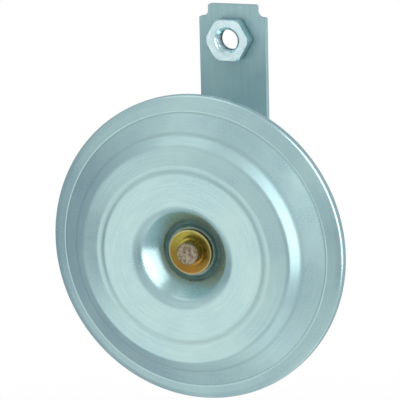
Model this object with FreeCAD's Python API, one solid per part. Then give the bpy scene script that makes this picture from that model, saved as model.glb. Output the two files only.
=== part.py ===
import FreeCAD, Part
import math
import os
from FreeCAD import Vector

# Car horn of the disc kind: a magnet with a contact breaker in a pressed steel housing shakes
# a diaphragm, and a stepped tone disc in front of it rings. A flat steel strip carries it.
# Sizes are millimetres. +Z is up and the horn faces -Y. The origin is on the axis of the
# nut at the top of the strip, in the strip's front face, which is also the plane of the
# housing's back. Heights are measured forwards from that plane, and radii from the horn's axis.

# Mounting strip and the nut welded to it
NUT_TO_HORN_AXIS = 60.9
STRIP_WIDTH = 22.5
STRIP_SHEET = 2.5
STRIP_TOP = 10.8
TAB_WIDTH = 16.4
TAB_HEIGHT = 4.0
NOTCH_ROUND = 2.0
STRIP_CORNER_ROUND = 0.6
BOLT_HOLE_RADIUS = 4.5
VEHICLE_SEAT_LENGTH = 28.0
NUT_ACROSS_FLATS = 13.0
NUT_HEIGHT = 5.0
NUT_THREAD_RADIUS = 3.4
NUT_MOUTH_RADIUS = 4.2

# Housing pot, pressed from one sheet, its edge rolled over the diaphragm
POT_SHEET = 1.2
POT_RADIUS = 33.5
POT_DRAFT = 0.6
POT_DEPTH = 25.7
POT_BACK_ROUND = 4.0
FLANGE_FOOT_ROUND = 1.2
FLANGE_WIDTH = 11.4
LIP_WIDTH = 4.4
LIP_ROUND = 1.7

# Diaphragm and its gaskets
DIAPHRAGM_SHEET = 0.4
CLAMP_EDGE_PLAY = 0.1
GASKET_THICKNESS = 1.0
GASKET_WIDTH = 3.6
CORRUGATION_HEIGHT = 0.8
CORRUGATION_WALL_GAP = 6.5
CORRUGATION_WIDTH = 6.0
CORRUGATION_ROUND = 2.5

# Tone disc: heights are above the back edge of its rim, insets inwards from its edge
DISC_RADIUS = 48.7
DISC_SHEET = 1.2
DISC_GAP = 3.0
RIM_CREST = 2.3
RIM_ROUND = 1.8
BEAD_INSET = 4.35
BEAD_HEIGHT = 4.25
BEAD_ROUND = 0.35
GROOVE_INSET = 4.98
GROOVE_HEIGHT = 4.08
GROOVE_ROUND = 0.3
CONE_FOOT_INSET = 6.3
CONE_FOOT_HEIGHT = 5.5
CONE_FOOT_ROUND = 1.4
CONE_TOP_INSET = 11.0
CONE_TOP_HEIGHT = 9.25
CONE_TOP_ROUND = 8.0
SHOULDER_INSET = 13.6
SHOULDER_HEIGHT = 12.33
SHOULDER_ROUND = 3.4
LAND_INSET = 21.35
LAND_HEIGHT = 13.9
LAND_ROUND = 4.0
DIMPLE_RADIUS = 15.6
DIMPLE_ROUND = 4.0
SEAT_RADIUS = 8.3
SEAT_HEIGHT = 5.0
SEAT_ROUND = 1.0
CREASE_WIDTH = 2.2
CREASE_DEPTH = 0.3

# Stud and the pieces clamped on it
STUD_RADIUS = 3.6
STUD_PLAY = 0.05
STUD_PROUD = 2.4
STUD_END_CHAMFER = 0.45
STUD_IN_ARMATURE = 6.7
BACKING_WASHER_RADIUS = 7.8
BACKING_WASHER_THICKNESS = 1.0
DISHED_WASHER_RADIUS = 7.05
DISHED_WASHER_SHEET = 0.55
DISHED_WASHER_DEPTH = 1.3
DISHED_WASHER_FOOT = 0.8
DISHED_WASHER_ROUND = 1.5
SPACER_RADIUS = 6.5
STIFFENER_RADIUS = 10.0
STIFFENER_THICKNESS = 0.8
CLAMP_PIECE_ROUND = 0.3

# Magnet
ARMATURE_LENGTH = 8.7
ARMATURE_FLANGE_THICKNESS = 3.0
AIR_GAP = 1.0
CORE_CHAMFER = 0.5
CORE_PROUD = 1.3
BOBBIN_PLAY = 0.1
BOBBIN_WALL = 1.2
WINDING_MARGIN = 1.0

# Fastening of the housing to the strip
SCREW_STUD_RADIUS = 4.0
SCREW_STUD_PLAY = 0.15
SCREW_STUD_END = 1.5
STUD_NUT_HEIGHT = 6.5
STUD_NUT_MOUTH = 0.6
SPRING_WASHER_THICKNESS = 2.0
SPRING_WASHER_RADIUS = 7.2
SPRING_WASHER_SLIT = 1.2

# Contact breaker, between the coil and the pot's wall on the +X side
BREAKER_WIDTH = 10.0
BASE_SHEET = 1.2
BASE_WALL_GAP = 2.1
BASE_COIL_GAP = 1.5
BASE_TOP_MARGIN = 2.8
BASE_FOOT_ROUND = 2.6
BASE_TOP_ROUND = 2.0
STACK_WALL_GAP = 2.3
STACK_LENGTH = 6.2
LOWER_INSULATOR = 1.6
UPPER_INSULATOR = 1.0
LEAF_OVER_BOBBIN = 4.1
LEAF_SHEET = 0.3
LEAF_TIP_WIDTH = 5.0
CONTACT_RADIUS = 2.0
CONTACT_HEAD = 0.9
CONTACT_SHANK_RADIUS = 1.0
CONTACT_TAIL = 0.5
CONTACT_GAP = 0.1
ARM_SHEET = 1.0
ARM_TIP_MARGIN = 0.7
PAD_INSET = 1.8
PAD_RADIUS = 1.7
PAD_TIP_MARGIN = 2.3
PAD_GAP = 0.15
BREAKER_PLAY = 0.05
RIVET_LEG_GAP = 3.9
RIVET_SPREAD = 2.8
RIVET_RADIUS = 1.0
RIVET_HEAD_RADIUS = 1.7
RIVET_HEAD_HEIGHT = 0.6
SLEEVE_WALL = 0.5

# Adjusting screw and the bush that carries it
ADJUST_LEG_GAP = 6.6
ADJUST_RADIUS = 2.0
ADJUST_HEAD_FLATS = 7.0
ADJUST_HEAD_HEIGHT = 2.8
ADJUST_SLOT_WIDTH = 1.0
ADJUST_SLOT_DEPTH = 1.2
BUSH_RADIUS = 3.2
BUSH_FLANGE_RADIUS = 4.0
BUSH_FLANGE_THICKNESS = 1.0
BUSH_LENGTH = 4.5
SEALANT_THICKNESS = 0.8
SEALANT_RADIUS = 4.6

# Terminals, below the strip's lower end
TERMINAL_X = 6.0
TERMINAL_COIL_GAP = 3.4
TERMINAL_PLATE_THICKNESS = 2.0
TERMINAL_PLATE_WIDTH = 22.0
TERMINAL_PLATE_RISE = 5.0
TERMINAL_PLATE_FALL = 5.5
TERMINAL_PLATE_ROUND = 2.0
INNER_PLATE_THICKNESS = 1.0
INNER_PLATE_WIDTH = 20.0
INNER_PLATE_RISE = 2.9
INNER_PLATE_FALL = 3.5
INNER_PLATE_ROUND = 1.0
BLADE_WIDTH = 6.3
BLADE_SHEET = 0.8
BLADE_REACH = 10.2
BLADE_BEND_ROUND = 1.6
BLADE_FOOT_RISE = 3.1
BLADE_FOOT_FALL = 4.3
BLADE_TIP_CHAMFER = 1.0
BLADE_HOLE_RADIUS = 0.9
BLADE_HOLE_FROM_TIP = 3.9
TERMINAL_RIVET_RADIUS = 1.5
TERMINAL_HEAD_RADIUS = 2.7
TERMINAL_HEAD_HEIGHT = 0.9
TERMINAL_COLLAR_RADIUS = 2.9
HOLE_PLAY = 0.1

# Leads inside the housing
LEAD_RADIUS = 0.5
LEAD_BEND = 3.0

# Rings of the tone disc, from its edge inwards
BEAD_RADIUS = DISC_RADIUS - BEAD_INSET
GROOVE_RADIUS = DISC_RADIUS - GROOVE_INSET
CONE_FOOT_RADIUS = DISC_RADIUS - CONE_FOOT_INSET
CONE_TOP_RADIUS = DISC_RADIUS - CONE_TOP_INSET
SHOULDER_RADIUS = DISC_RADIUS - SHOULDER_INSET
LAND_RADIUS = DISC_RADIUS - LAND_INSET

# Radii that follow the pot: its rim, the diaphragm's corrugation and the magnet
LIP_RADIUS = POT_RADIUS + FLANGE_WIDTH
LIP_INNER_RADIUS = LIP_RADIUS - LIP_WIDTH
CORRUGATION_RADIUS = POT_RADIUS - CORRUGATION_WALL_GAP
CORE_RADIUS = 0.24 * POT_RADIUS
ARMATURE_RADIUS = CORE_RADIUS
ARMATURE_FLANGE_RADIUS = 0.39 * POT_RADIUS
BOBBIN_RADIUS = 0.54 * POT_RADIUS

# Places of the breaker's pieces along X, from the coil and from the pot's wall
PAD_X = ARMATURE_FLANGE_RADIUS - PAD_INSET
CONTACT_X = 0.58 * POT_RADIUS
ARM_TIP_X = CONTACT_X - CONTACT_RADIUS - ARM_TIP_MARGIN
STACK_OUTER_X = POT_RADIUS - STACK_WALL_GAP
STACK_INNER_X = STACK_OUTER_X - STACK_LENGTH
BASE_TOP_X = STACK_INNER_X - BASE_TOP_MARGIN
BASE_LEG_X = POT_RADIUS - BASE_WALL_GAP
BASE_FOOT_X = BOBBIN_RADIUS + BASE_COIL_GAP
RIVET_X = BASE_LEG_X - RIVET_LEG_GAP
ADJUST_X = BASE_LEG_X - ADJUST_LEG_GAP

# Levels of the terminals' pieces, measured down from the horn's axis
TERMINAL_DROP = BOBBIN_RADIUS + TERMINAL_COIL_GAP
TERMINAL_PLATE_TOP = TERMINAL_DROP - TERMINAL_PLATE_RISE
TERMINAL_PLATE_BOTTOM = TERMINAL_DROP + TERMINAL_PLATE_FALL
INNER_PLATE_TOP = TERMINAL_DROP - INNER_PLATE_RISE
INNER_PLATE_BOTTOM = TERMINAL_DROP + INNER_PLATE_FALL
BLADE_FOOT_TOP = TERMINAL_DROP - BLADE_FOOT_RISE
BLADE_FOOT_BOTTOM = TERMINAL_DROP + BLADE_FOOT_FALL

# Heights of the seats that stack up from the housing's back
AXIS_Z = -NUT_TO_HORN_AXIS
DIAPHRAGM_BACK = POT_DEPTH + GASKET_THICKNESS
DIAPHRAGM_FRONT = DIAPHRAGM_BACK + DIAPHRAGM_SHEET
LIP_FRONT = DIAPHRAGM_FRONT + GASKET_THICKNESS + POT_SHEET
RIM_BACK = LIP_FRONT + DISC_GAP
STIFFENER_FRONT = DIAPHRAGM_FRONT + STIFFENER_THICKNESS
DISC_SEAT_FRONT = RIM_BACK + SEAT_HEIGHT
BACKING_WASHER_FRONT = DISC_SEAT_FRONT + BACKING_WASHER_THICKNESS
DISHED_WASHER_FRONT = BACKING_WASHER_FRONT + DISHED_WASHER_DEPTH
ARMATURE_BACK = DIAPHRAGM_BACK - ARMATURE_LENGTH
ARMATURE_FLANGE_BACK = DIAPHRAGM_BACK - ARMATURE_FLANGE_THICKNESS
CORE_FRONT = ARMATURE_BACK - AIR_GAP
BOBBIN_FRONT = CORE_FRONT - CORE_PROUD
LEAF_BACK = BOBBIN_FRONT + LEAF_OVER_BOBBIN
LEAF_FRONT = LEAF_BACK + LEAF_SHEET
ARM_BACK = LEAF_FRONT + 2 * CONTACT_HEAD + CONTACT_GAP
ARM_FRONT = ARM_BACK + ARM_SHEET
BASE_FRONT = LEAF_BACK - LOWER_INSULATOR
BASE_BACK = BASE_FRONT - BASE_SHEET
STACK_FRONT = ARM_FRONT + UPPER_INSULATOR

# Radius inside the rolled edge's bends, where the gaskets and the diaphragm end
CLAMP_EDGE = LIP_RADIUS - LIP_ROUND - CLAMP_EDGE_PLAY

SMALLEST_EDGE = 1e-6


def round_off(before, corner, after, radius):
    """Start, middle and end of the arc that rounds a corner off."""
    arriving = (corner - before).normalize()
    leaving = (after - corner).normalize()
    half_turn = arriving.getAngle(leaving) / 2
    reach = radius * math.tan(half_turn)
    depth = radius / math.cos(half_turn) - radius
    inward = (leaving - arriving).normalize()
    return [corner - arriving * reach, corner + inward * depth, corner + leaving * reach]


def rounded_wire(corners, radii, closed):
    """Wire through the corners, each rounded off by its radius."""
    count = len(corners)
    stops = []
    for i, corner in enumerate(corners):
        free_end = not closed and i in (0, count - 1)
        if free_end or radii[i] <= 0:
            stops.append([corner])
        else:
            stops.append(round_off(corners[i - 1], corner, corners[(i + 1) % count], radii[i]))
    edges = []
    for i, stop in enumerate(stops):
        if len(stop) > 1:
            edges.append(Part.Arc(*stop).toShape())
        if i == count - 1 and not closed:
            break
        following = stops[(i + 1) % count][0]
        if stop[-1].distanceToPoint(following) > SMALLEST_EDGE:
            edges.append(Part.makeLine(stop[-1], following))
    return Part.Wire(edges)


def face_of(outline, place):
    """Flat face of an outline of (a, b, radius) corners, put into space by place(a, b)."""
    corners = [place(a, b) for a, b, radius in outline]
    radii = [radius for a, b, radius in outline]
    return Part.Face(rounded_wire(corners, radii, True))


def beside(chain, distance):
    """A chain of (a, b, radius) corners moved to its left, its bends kept concentric."""
    moved = []
    for i, (a, b, radius) in enumerate(chain):
        before = chain[max(i - 1, 0)]
        after = chain[min(i + 1, len(chain) - 1)]
        here = Vector(a, b, 0)
        arriving = here - Vector(before[0], before[1], 0)
        leaving = Vector(after[0], after[1], 0) - here
        if arriving.Length < SMALLEST_EDGE:
            arriving = leaving
        if leaving.Length < SMALLEST_EDGE:
            leaving = arriving
        arriving = Vector(arriving).normalize()
        leaving = Vector(leaving).normalize()
        step = distance / (1 + arriving.dot(leaving))
        turn = arriving.cross(leaving).z
        bend = max(radius - math.copysign(distance, turn), 0) if radius > 0 else 0
        side_a = -(arriving.y + leaving.y) * step
        side_b = (arriving.x + leaving.x) * step
        moved.append((a + side_a, b + side_b, bend))
    return moved


def sheet_outline(chain, thickness):
    """Outline of a bent sheet, from the chain of corners of one side of it."""
    return chain + beside(chain, thickness)[::-1]


def turned(outline, x=0.0, drop=0.0):
    """Solid turned about a line along Y, at x and at a drop below the horn's axis."""
    centre = Vector(x, 0, AXIS_Z - drop)
    face = face_of(outline, lambda radius, height: centre + Vector(radius, -height, 0))
    return face.revolve(centre, Vector(0, 1, 0), 360)


def disc(radius, low, high, x=0.0, drop=0.0):
    """Plain cylinder along Y between two heights."""
    return Part.makeCylinder(radius, high - low, Vector(x, -low, AXIS_Z - drop), Vector(0, -1, 0))


def ring(inner, outer, low, high, edge=0.0, x=0.0, drop=0.0):
    """Ring between two heights, its outer edges rounded."""
    outline = [(inner, low, 0), (outer, low, edge), (outer, high, edge), (inner, high, 0)]
    return turned(outline, x, drop)


def plate(outline, low, high, z=AXIS_Z):
    """Flat plate between two heights, its (x, z) outline measured from a level z."""
    face = face_of(outline, lambda a, b: Vector(a, -low, z + b))
    return face.extrude(Vector(0, low - high, 0))


def rectangle(x_low, x_high, z_low, z_high, corner=0.0):
    """Outline of a rectangle with rounded corners."""
    return [(x_low, z_low, corner), (x_high, z_low, corner), (x_high, z_high, corner),
            (x_low, z_high, corner)]


def hexagon_blank(across_flats, height):
    """Hexagon along Y at the origin, two flats level, its corners chamfered at both ends."""
    corner_radius = across_flats / math.sqrt(3)
    corners = []
    for i in range(6):
        angle = math.radians(60 * i)
        corners.append((corner_radius * math.cos(angle), corner_radius * math.sin(angle), 0))
    body = plate(corners, 0, height, 0)
    flat_radius = across_flats / 2
    slope = (corner_radius - flat_radius) * math.tan(math.radians(30))
    sides = [(0, 0, 0), (flat_radius, 0, 0), (corner_radius, slope, 0),
             (corner_radius, height - slope, 0), (flat_radius, height, 0), (0, height, 0)]
    blank = turned(sides)
    blank.translate(Vector(0, 0, -AXIS_Z))
    return body.common(blank)


def hexagon_nut(across_flats, height, hole_radius, mouth_radius):
    """Nut along Y at the origin, from its seat at height 0, its bore opened at the free end."""
    mouth = mouth_radius - hole_radius
    bore_sides = [(0, 0, 0), (hole_radius, 0, 0), (hole_radius, height - mouth, 0),
                  (mouth_radius, height, 0), (0, height, 0)]
    bore = turned(bore_sides)
    bore.translate(Vector(0, 0, -AXIS_Z))
    return hexagon_blank(across_flats, height).cut(bore)


def mounting_bracket():
    """Flat strip from the notched top down to a round end about the horn's axis."""
    half = STRIP_WIDTH / 2
    tab = TAB_WIDTH / 2
    shoulder = STRIP_TOP - TAB_HEIGHT
    bottom = -NUT_TO_HORN_AXIS - half
    corner = STRIP_CORNER_ROUND
    outline = [(-half, bottom, half), (-half, shoulder, corner), (-tab, shoulder, NOTCH_ROUND),
               (-tab, STRIP_TOP, corner), (tab, STRIP_TOP, corner), (tab, shoulder, NOTCH_ROUND),
               (half, shoulder, corner), (half, bottom, half)]
    strip = plate(outline, -STRIP_SHEET, 0, 0)
    bolt_hole = disc(BOLT_HOLE_RADIUS, -STRIP_SHEET, 0, 0, AXIS_Z)
    stud_hole = disc(SCREW_STUD_RADIUS + SCREW_STUD_PLAY, -STRIP_SHEET, 0)
    return marked_off(strip.cut(bolt_hole).cut(stud_hole), STRIP_TOP - VEHICLE_SEAT_LENGTH)


def marked_off(strip, level):
    """The strip with the part of its back above a level as a face of its own, which is the
    seat on the vehicle's bracket."""
    half = STRIP_WIDTH / 2
    edge = Part.makeLine(Vector(-half, STRIP_SHEET, level), Vector(half, STRIP_SHEET, level))
    divided, origins = strip.generalFuse([edge])
    return divided.Solids[0]


def bracket_nut():
    """Low hexagon nut welded to the front of the strip, two flats level."""
    return hexagon_nut(NUT_ACROSS_FLATS, NUT_HEIGHT, NUT_THREAD_RADIUS, NUT_MOUTH_RADIUS)


def spring_washer():
    """Split washer between the strip and the nut behind it."""
    washer = ring(SCREW_STUD_RADIUS + SCREW_STUD_PLAY, SPRING_WASHER_RADIUS,
                  -STRIP_SHEET - SPRING_WASHER_THICKNESS, -STRIP_SHEET, CLAMP_PIECE_ROUND)
    reach = SPRING_WASHER_RADIUS + 1
    slit = Part.makeBox(reach, 3 * SPRING_WASHER_THICKNESS, SPRING_WASHER_SLIT)
    slit.translate(Vector(0, -SPRING_WASHER_THICKNESS, -SPRING_WASHER_SLIT / 2))
    slit.rotate(Vector(0, 0, 0), Vector(1, 0, 0), 20)
    slit.translate(Vector(0, STRIP_SHEET + SPRING_WASHER_THICKNESS / 2, AXIS_Z))
    return washer.cut(slit)


def stud_nut():
    """Nut behind the strip, on the core's threaded stud, its free end to the back."""
    hole = SCREW_STUD_RADIUS + STUD_PLAY
    nut = hexagon_nut(NUT_ACROSS_FLATS, STUD_NUT_HEIGHT, hole, hole + STUD_NUT_MOUTH)
    nut.rotate(Vector(0, 0, 0), Vector(1, 0, 0), 180)
    nut.translate(Vector(0, STRIP_SHEET + SPRING_WASHER_THICKNESS, AXIS_Z))
    return nut


def housing_pot():
    """Pressed pot whose edge is rolled over the gaskets and the diaphragm."""
    stud_hole = SCREW_STUD_RADIUS + SCREW_STUD_PLAY
    chain = [(stud_hole, 0, 0), (POT_RADIUS, 0, POT_BACK_ROUND),
             (POT_RADIUS + POT_DRAFT, POT_DEPTH - POT_SHEET, FLANGE_FOOT_ROUND),
             (LIP_RADIUS, POT_DEPTH - POT_SHEET, LIP_ROUND), (LIP_RADIUS, LIP_FRONT, LIP_ROUND),
             (LIP_INNER_RADIUS, LIP_FRONT, 0)]
    pot = turned(sheet_outline(chain, POT_SHEET))
    pot = pot.cut(disc(BUSH_RADIUS, 0, POT_SHEET, ADJUST_X))
    for side in (-1, 1):
        hole = disc(TERMINAL_COLLAR_RADIUS + HOLE_PLAY, 0, POT_SHEET,
                    side * TERMINAL_X, TERMINAL_DROP)
        pot = pot.cut(hole)
    return pot


def gasket(low):
    """Paper ring inside the rolled edge."""
    return ring(CLAMP_EDGE - GASKET_WIDTH, CLAMP_EDGE, low, low + GASKET_THICKNESS)


def diaphragm():
    """Thin spring steel disc with one corrugation, clamped at its edge."""
    half = CORRUGATION_WIDTH / 2
    run = CORRUGATION_HEIGHT * 2
    raised = DIAPHRAGM_BACK + CORRUGATION_HEIGHT
    bend = CORRUGATION_ROUND
    chain = [(STUD_RADIUS + STUD_PLAY, DIAPHRAGM_BACK, 0),
             (CORRUGATION_RADIUS - half, DIAPHRAGM_BACK, bend),
             (CORRUGATION_RADIUS - half + run, raised, bend),
             (CORRUGATION_RADIUS + half - run, raised, bend),
             (CORRUGATION_RADIUS + half, DIAPHRAGM_BACK, bend), (CLAMP_EDGE, DIAPHRAGM_BACK, 0)]
    return turned(sheet_outline(chain, DIAPHRAGM_SHEET))


def tone_disc():
    """Stepped disc pressed from one sheet, with a turned-back rim and a deep dimple."""
    base = RIM_BACK
    land = base + LAND_HEIGHT
    chain = [(DISC_RADIUS, base, 0), (DISC_RADIUS, base + RIM_CREST, RIM_ROUND),
             (BEAD_RADIUS, base + BEAD_HEIGHT, BEAD_ROUND),
             (GROOVE_RADIUS, base + GROOVE_HEIGHT, GROOVE_ROUND),
             (CONE_FOOT_RADIUS, base + CONE_FOOT_HEIGHT, CONE_FOOT_ROUND),
             (CONE_TOP_RADIUS, base + CONE_TOP_HEIGHT, CONE_TOP_ROUND),
             (SHOULDER_RADIUS, base + SHOULDER_HEIGHT, SHOULDER_ROUND),
             (LAND_RADIUS, land, LAND_ROUND), (DIMPLE_RADIUS, land, DIMPLE_ROUND),
             (SEAT_RADIUS, base + SEAT_HEIGHT, SEAT_ROUND),
             (STUD_RADIUS + STUD_PLAY, base + SEAT_HEIGHT, 0)]
    pressed = turned(sheet_outline(chain, DISC_SHEET))
    half = CREASE_WIDTH / 2
    crease = turned([(LAND_RADIUS - half, land, 0), (LAND_RADIUS, land - CREASE_DEPTH, 0),
                     (LAND_RADIUS + half, land, 0)])
    return pressed.cut(crease)


def backing_washer():
    """Plain washer in the dimple's seat."""
    return ring(STUD_RADIUS + STUD_PLAY, BACKING_WASHER_RADIUS, DISC_SEAT_FRONT,
                BACKING_WASHER_FRONT, CLAMP_PIECE_ROUND)


def dished_washer():
    """Dished washer under the peened end of the stud: a flat foot, and a cone that opens
    forwards and leaves its rim clear of the washer behind it."""
    bore = STUD_RADIUS + STUD_PLAY
    rim_back = DISHED_WASHER_FRONT - DISHED_WASHER_SHEET
    chain = [(bore, BACKING_WASHER_FRONT, 0),
             (bore + DISHED_WASHER_FOOT, BACKING_WASHER_FRONT, DISHED_WASHER_ROUND),
             (DISHED_WASHER_RADIUS, rim_back, 0)]
    return turned(sheet_outline(chain, DISHED_WASHER_SHEET))


def centre_stud():
    """Stud that ties the armature, diaphragm, spacer and tone disc together."""
    low = ARMATURE_BACK + ARMATURE_LENGTH - STUD_IN_ARMATURE
    high = DISHED_WASHER_FRONT + STUD_PROUD
    return turned([(0, low, 0), (STUD_RADIUS, low, 0), (STUD_RADIUS, high, STUD_END_CHAMFER),
                   (0, high, 0)])


def spacer_sleeve():
    """Sleeve that holds the tone disc off the diaphragm."""
    return ring(STUD_RADIUS + STUD_PLAY, SPACER_RADIUS, STIFFENER_FRONT,
                DISC_SEAT_FRONT - DISC_SHEET, CLAMP_PIECE_ROUND)


def stiffening_washer():
    """Wide washer that spreads the clamping on the diaphragm."""
    return ring(STUD_RADIUS + STUD_PLAY, STIFFENER_RADIUS, DIAPHRAGM_FRONT, STIFFENER_FRONT,
                CLAMP_PIECE_ROUND)


def armature():
    """Turned soft iron piece behind the diaphragm, with a flange that works the breaker."""
    bottom = DIAPHRAGM_BACK - STUD_IN_ARMATURE
    return turned([(0, ARMATURE_BACK, 0), (ARMATURE_RADIUS, ARMATURE_BACK, CORE_CHAMFER),
                   (ARMATURE_RADIUS, ARMATURE_FLANGE_BACK, CORE_CHAMFER),
                   (ARMATURE_FLANGE_RADIUS, ARMATURE_FLANGE_BACK, CORE_CHAMFER),
                   (ARMATURE_FLANGE_RADIUS, DIAPHRAGM_BACK, CORE_CHAMFER),
                   (STUD_RADIUS, DIAPHRAGM_BACK, 0), (STUD_RADIUS, bottom, 0), (0, bottom, 0)])


def magnet_core():
    """Iron core in the pot, with the threaded stud that goes out through the back."""
    end = -(STRIP_SHEET + SPRING_WASHER_THICKNESS + STUD_NUT_HEIGHT + SCREW_STUD_END)
    return turned([(0, end, 0), (SCREW_STUD_RADIUS, end, CORE_CHAMFER),
                   (SCREW_STUD_RADIUS, POT_SHEET, 0), (CORE_RADIUS, POT_SHEET, 0),
                   (CORE_RADIUS, CORE_FRONT, CORE_CHAMFER), (0, CORE_FRONT, 0)])


def coil_bobbin():
    """Moulded spool on the core."""
    inner = CORE_RADIUS + BOBBIN_PLAY
    waist = inner + BOBBIN_WALL
    low = POT_SHEET
    return turned([(inner, low, 0), (BOBBIN_RADIUS, low, 0), (BOBBIN_RADIUS, low + BOBBIN_WALL, 0),
                   (waist, low + BOBBIN_WALL, 0), (waist, BOBBIN_FRONT - BOBBIN_WALL, 0),
                   (BOBBIN_RADIUS, BOBBIN_FRONT - BOBBIN_WALL, 0), (BOBBIN_RADIUS, BOBBIN_FRONT, 0),
                   (inner, BOBBIN_FRONT, 0)])


def coil_winding():
    """Enamelled wire wound on the bobbin, as one ring."""
    return ring(CORE_RADIUS + BOBBIN_PLAY + BOBBIN_WALL, BOBBIN_RADIUS - WINDING_MARGIN,
                POT_SHEET + BOBBIN_WALL, BOBBIN_FRONT - BOBBIN_WALL)


def breaker_base():
    """Bent steel bracket: foot on the pot's back, leg at its wall, top under the stack."""
    chain = [(BASE_FOOT_X, POT_SHEET, 0), (BASE_LEG_X, POT_SHEET, BASE_FOOT_ROUND),
             (BASE_LEG_X, BASE_FRONT, BASE_TOP_ROUND), (BASE_TOP_X, BASE_FRONT, 0)]
    low_side = AXIS_Z - BREAKER_WIDTH / 2
    face = face_of(sheet_outline(chain, BASE_SHEET), lambda a, b: Vector(a, -b, low_side))
    base = face.extrude(Vector(0, 0, BREAKER_WIDTH))
    base = base.cut(disc(BUSH_RADIUS, POT_SHEET, POT_SHEET + BASE_SHEET, ADJUST_X))
    return base.cut(rivet_holes(RIVET_RADIUS + BREAKER_PLAY, BASE_BACK, BASE_FRONT))


def rivet_holes(radius, low, high):
    """The two holes through one layer of the breaker's stack."""
    holes = [disc(radius, low, high, RIVET_X, side * RIVET_SPREAD) for side in (-1, 1)]
    return Part.makeCompound(holes)


def stack_insulator(low, high, hole_radius):
    """Fibre plate in the breaker's stack."""
    half = BREAKER_WIDTH / 2
    blank = plate(rectangle(STACK_INNER_X, STACK_OUTER_X, -half, half), low, high)
    return blank.cut(rivet_holes(hole_radius, low, high))


def contact_leaf():
    """Thin spring that carries the moving contact, wide where it is clamped."""
    root = BREAKER_WIDTH / 2
    tip = LEAF_TIP_WIDTH / 2
    neck_x = STACK_INNER_X - (root - tip)
    tip_x = PAD_X - PAD_TIP_MARGIN
    outline = [(STACK_OUTER_X, -root, 0), (STACK_OUTER_X, root, 0), (STACK_INNER_X, root, 0),
               (neck_x, tip, 0), (tip_x, tip, tip / 2), (tip_x, -tip, tip / 2), (neck_x, -tip, 0),
               (STACK_INNER_X, -root, 0)]
    leaf = plate(outline, LEAF_BACK, LEAF_FRONT)
    leaf = leaf.cut(rivet_holes(sleeve_radius() + BREAKER_PLAY, LEAF_BACK, LEAF_FRONT))
    for x in (CONTACT_X, PAD_X):
        leaf = leaf.cut(disc(CONTACT_SHANK_RADIUS + BREAKER_PLAY, LEAF_BACK, LEAF_FRONT, x))
    return leaf


def riveted_button(x, radius, head_low, head_high, tail_end):
    """Round button with a shank through the sheet behind it and a tail formed over."""
    sheet_back = tail_end + CONTACT_TAIL
    tail_radius = CONTACT_SHANK_RADIUS * 1.5
    return turned([(0, tail_end, 0), (tail_radius, tail_end, 0), (tail_radius, sheet_back, 0),
                   (CONTACT_SHANK_RADIUS, sheet_back, 0), (CONTACT_SHANK_RADIUS, head_low, 0),
                   (radius, head_low, 0), (radius, head_high, 0), (0, head_high, 0)], x)


def moving_contact():
    """Contact button on the leaf."""
    gap = BREAKER_PLAY
    return riveted_button(CONTACT_X, CONTACT_RADIUS, LEAF_FRONT + gap, LEAF_FRONT + CONTACT_HEAD,
                          LEAF_BACK - gap - CONTACT_TAIL)


def pusher_pad():
    """Insulating button at the leaf's tip, which the armature's flange pushes."""
    gap = BREAKER_PLAY
    return riveted_button(PAD_X, PAD_RADIUS, LEAF_FRONT + gap, ARMATURE_FLANGE_BACK - PAD_GAP,
                          LEAF_BACK - gap - CONTACT_TAIL)


def contact_arm():
    """Stiff arm in front of the leaf that carries the fixed contact."""
    half = BREAKER_WIDTH / 2
    tip = LEAF_TIP_WIDTH / 2
    neck_x = STACK_INNER_X - (half - tip)
    outline = [(STACK_OUTER_X, -half, 0), (STACK_OUTER_X, half, 0), (STACK_INNER_X, half, 0),
               (neck_x, tip, 0), (ARM_TIP_X, tip, tip / 2), (ARM_TIP_X, -tip, tip / 2),
               (neck_x, -tip, 0), (STACK_INNER_X, -half, 0)]
    arm = plate(outline, ARM_BACK, ARM_FRONT)
    arm = arm.cut(rivet_holes(sleeve_radius() + BREAKER_PLAY, ARM_BACK, ARM_FRONT))
    return arm.cut(disc(CONTACT_SHANK_RADIUS, ARM_BACK, ARM_FRONT, CONTACT_X))


def fixed_contact():
    """Contact button on the arm, facing the moving one."""
    low = ARM_BACK - CONTACT_HEAD
    tail_front = ARM_FRONT + CONTACT_TAIL
    tail_radius = CONTACT_SHANK_RADIUS * 1.5
    return turned([(0, low, 0), (CONTACT_RADIUS, low, 0), (CONTACT_RADIUS, ARM_BACK, 0),
                   (CONTACT_SHANK_RADIUS, ARM_BACK, 0), (CONTACT_SHANK_RADIUS, ARM_FRONT, 0),
                   (tail_radius, ARM_FRONT, 0), (tail_radius, tail_front, 0), (0, tail_front, 0)],
                  CONTACT_X)


def sleeve_radius():
    """Outer radius of the insulating sleeves round the breaker's rivets."""
    return RIVET_RADIUS + BREAKER_PLAY + SLEEVE_WALL


def rivet_sleeves():
    """Insulating sleeves that keep the rivets off the leaf and the arm."""
    sleeves = [ring(RIVET_RADIUS + BREAKER_PLAY, sleeve_radius(), LEAF_BACK, ARM_FRONT, 0,
                    RIVET_X, side * RIVET_SPREAD) for side in (-1, 1)]
    return Part.makeCompound(sleeves)


def breaker_rivets():
    """Two rivets through the base, the insulators, the leaf and the arm."""
    rivets = []
    low = BASE_BACK - RIVET_HEAD_HEIGHT
    high = STACK_FRONT + RIVET_HEAD_HEIGHT
    for side in (-1, 1):
        rivets.append(turned([(0, low, 0), (RIVET_HEAD_RADIUS, low, 0),
                              (RIVET_HEAD_RADIUS, BASE_BACK, 0), (RIVET_RADIUS, BASE_BACK, 0),
                              (RIVET_RADIUS, STACK_FRONT, 0), (RIVET_HEAD_RADIUS, STACK_FRONT, 0),
                              (RIVET_HEAD_RADIUS, high, 0), (0, high, 0)],
                             RIVET_X, side * RIVET_SPREAD))
    return Part.makeCompound(rivets)


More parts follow.
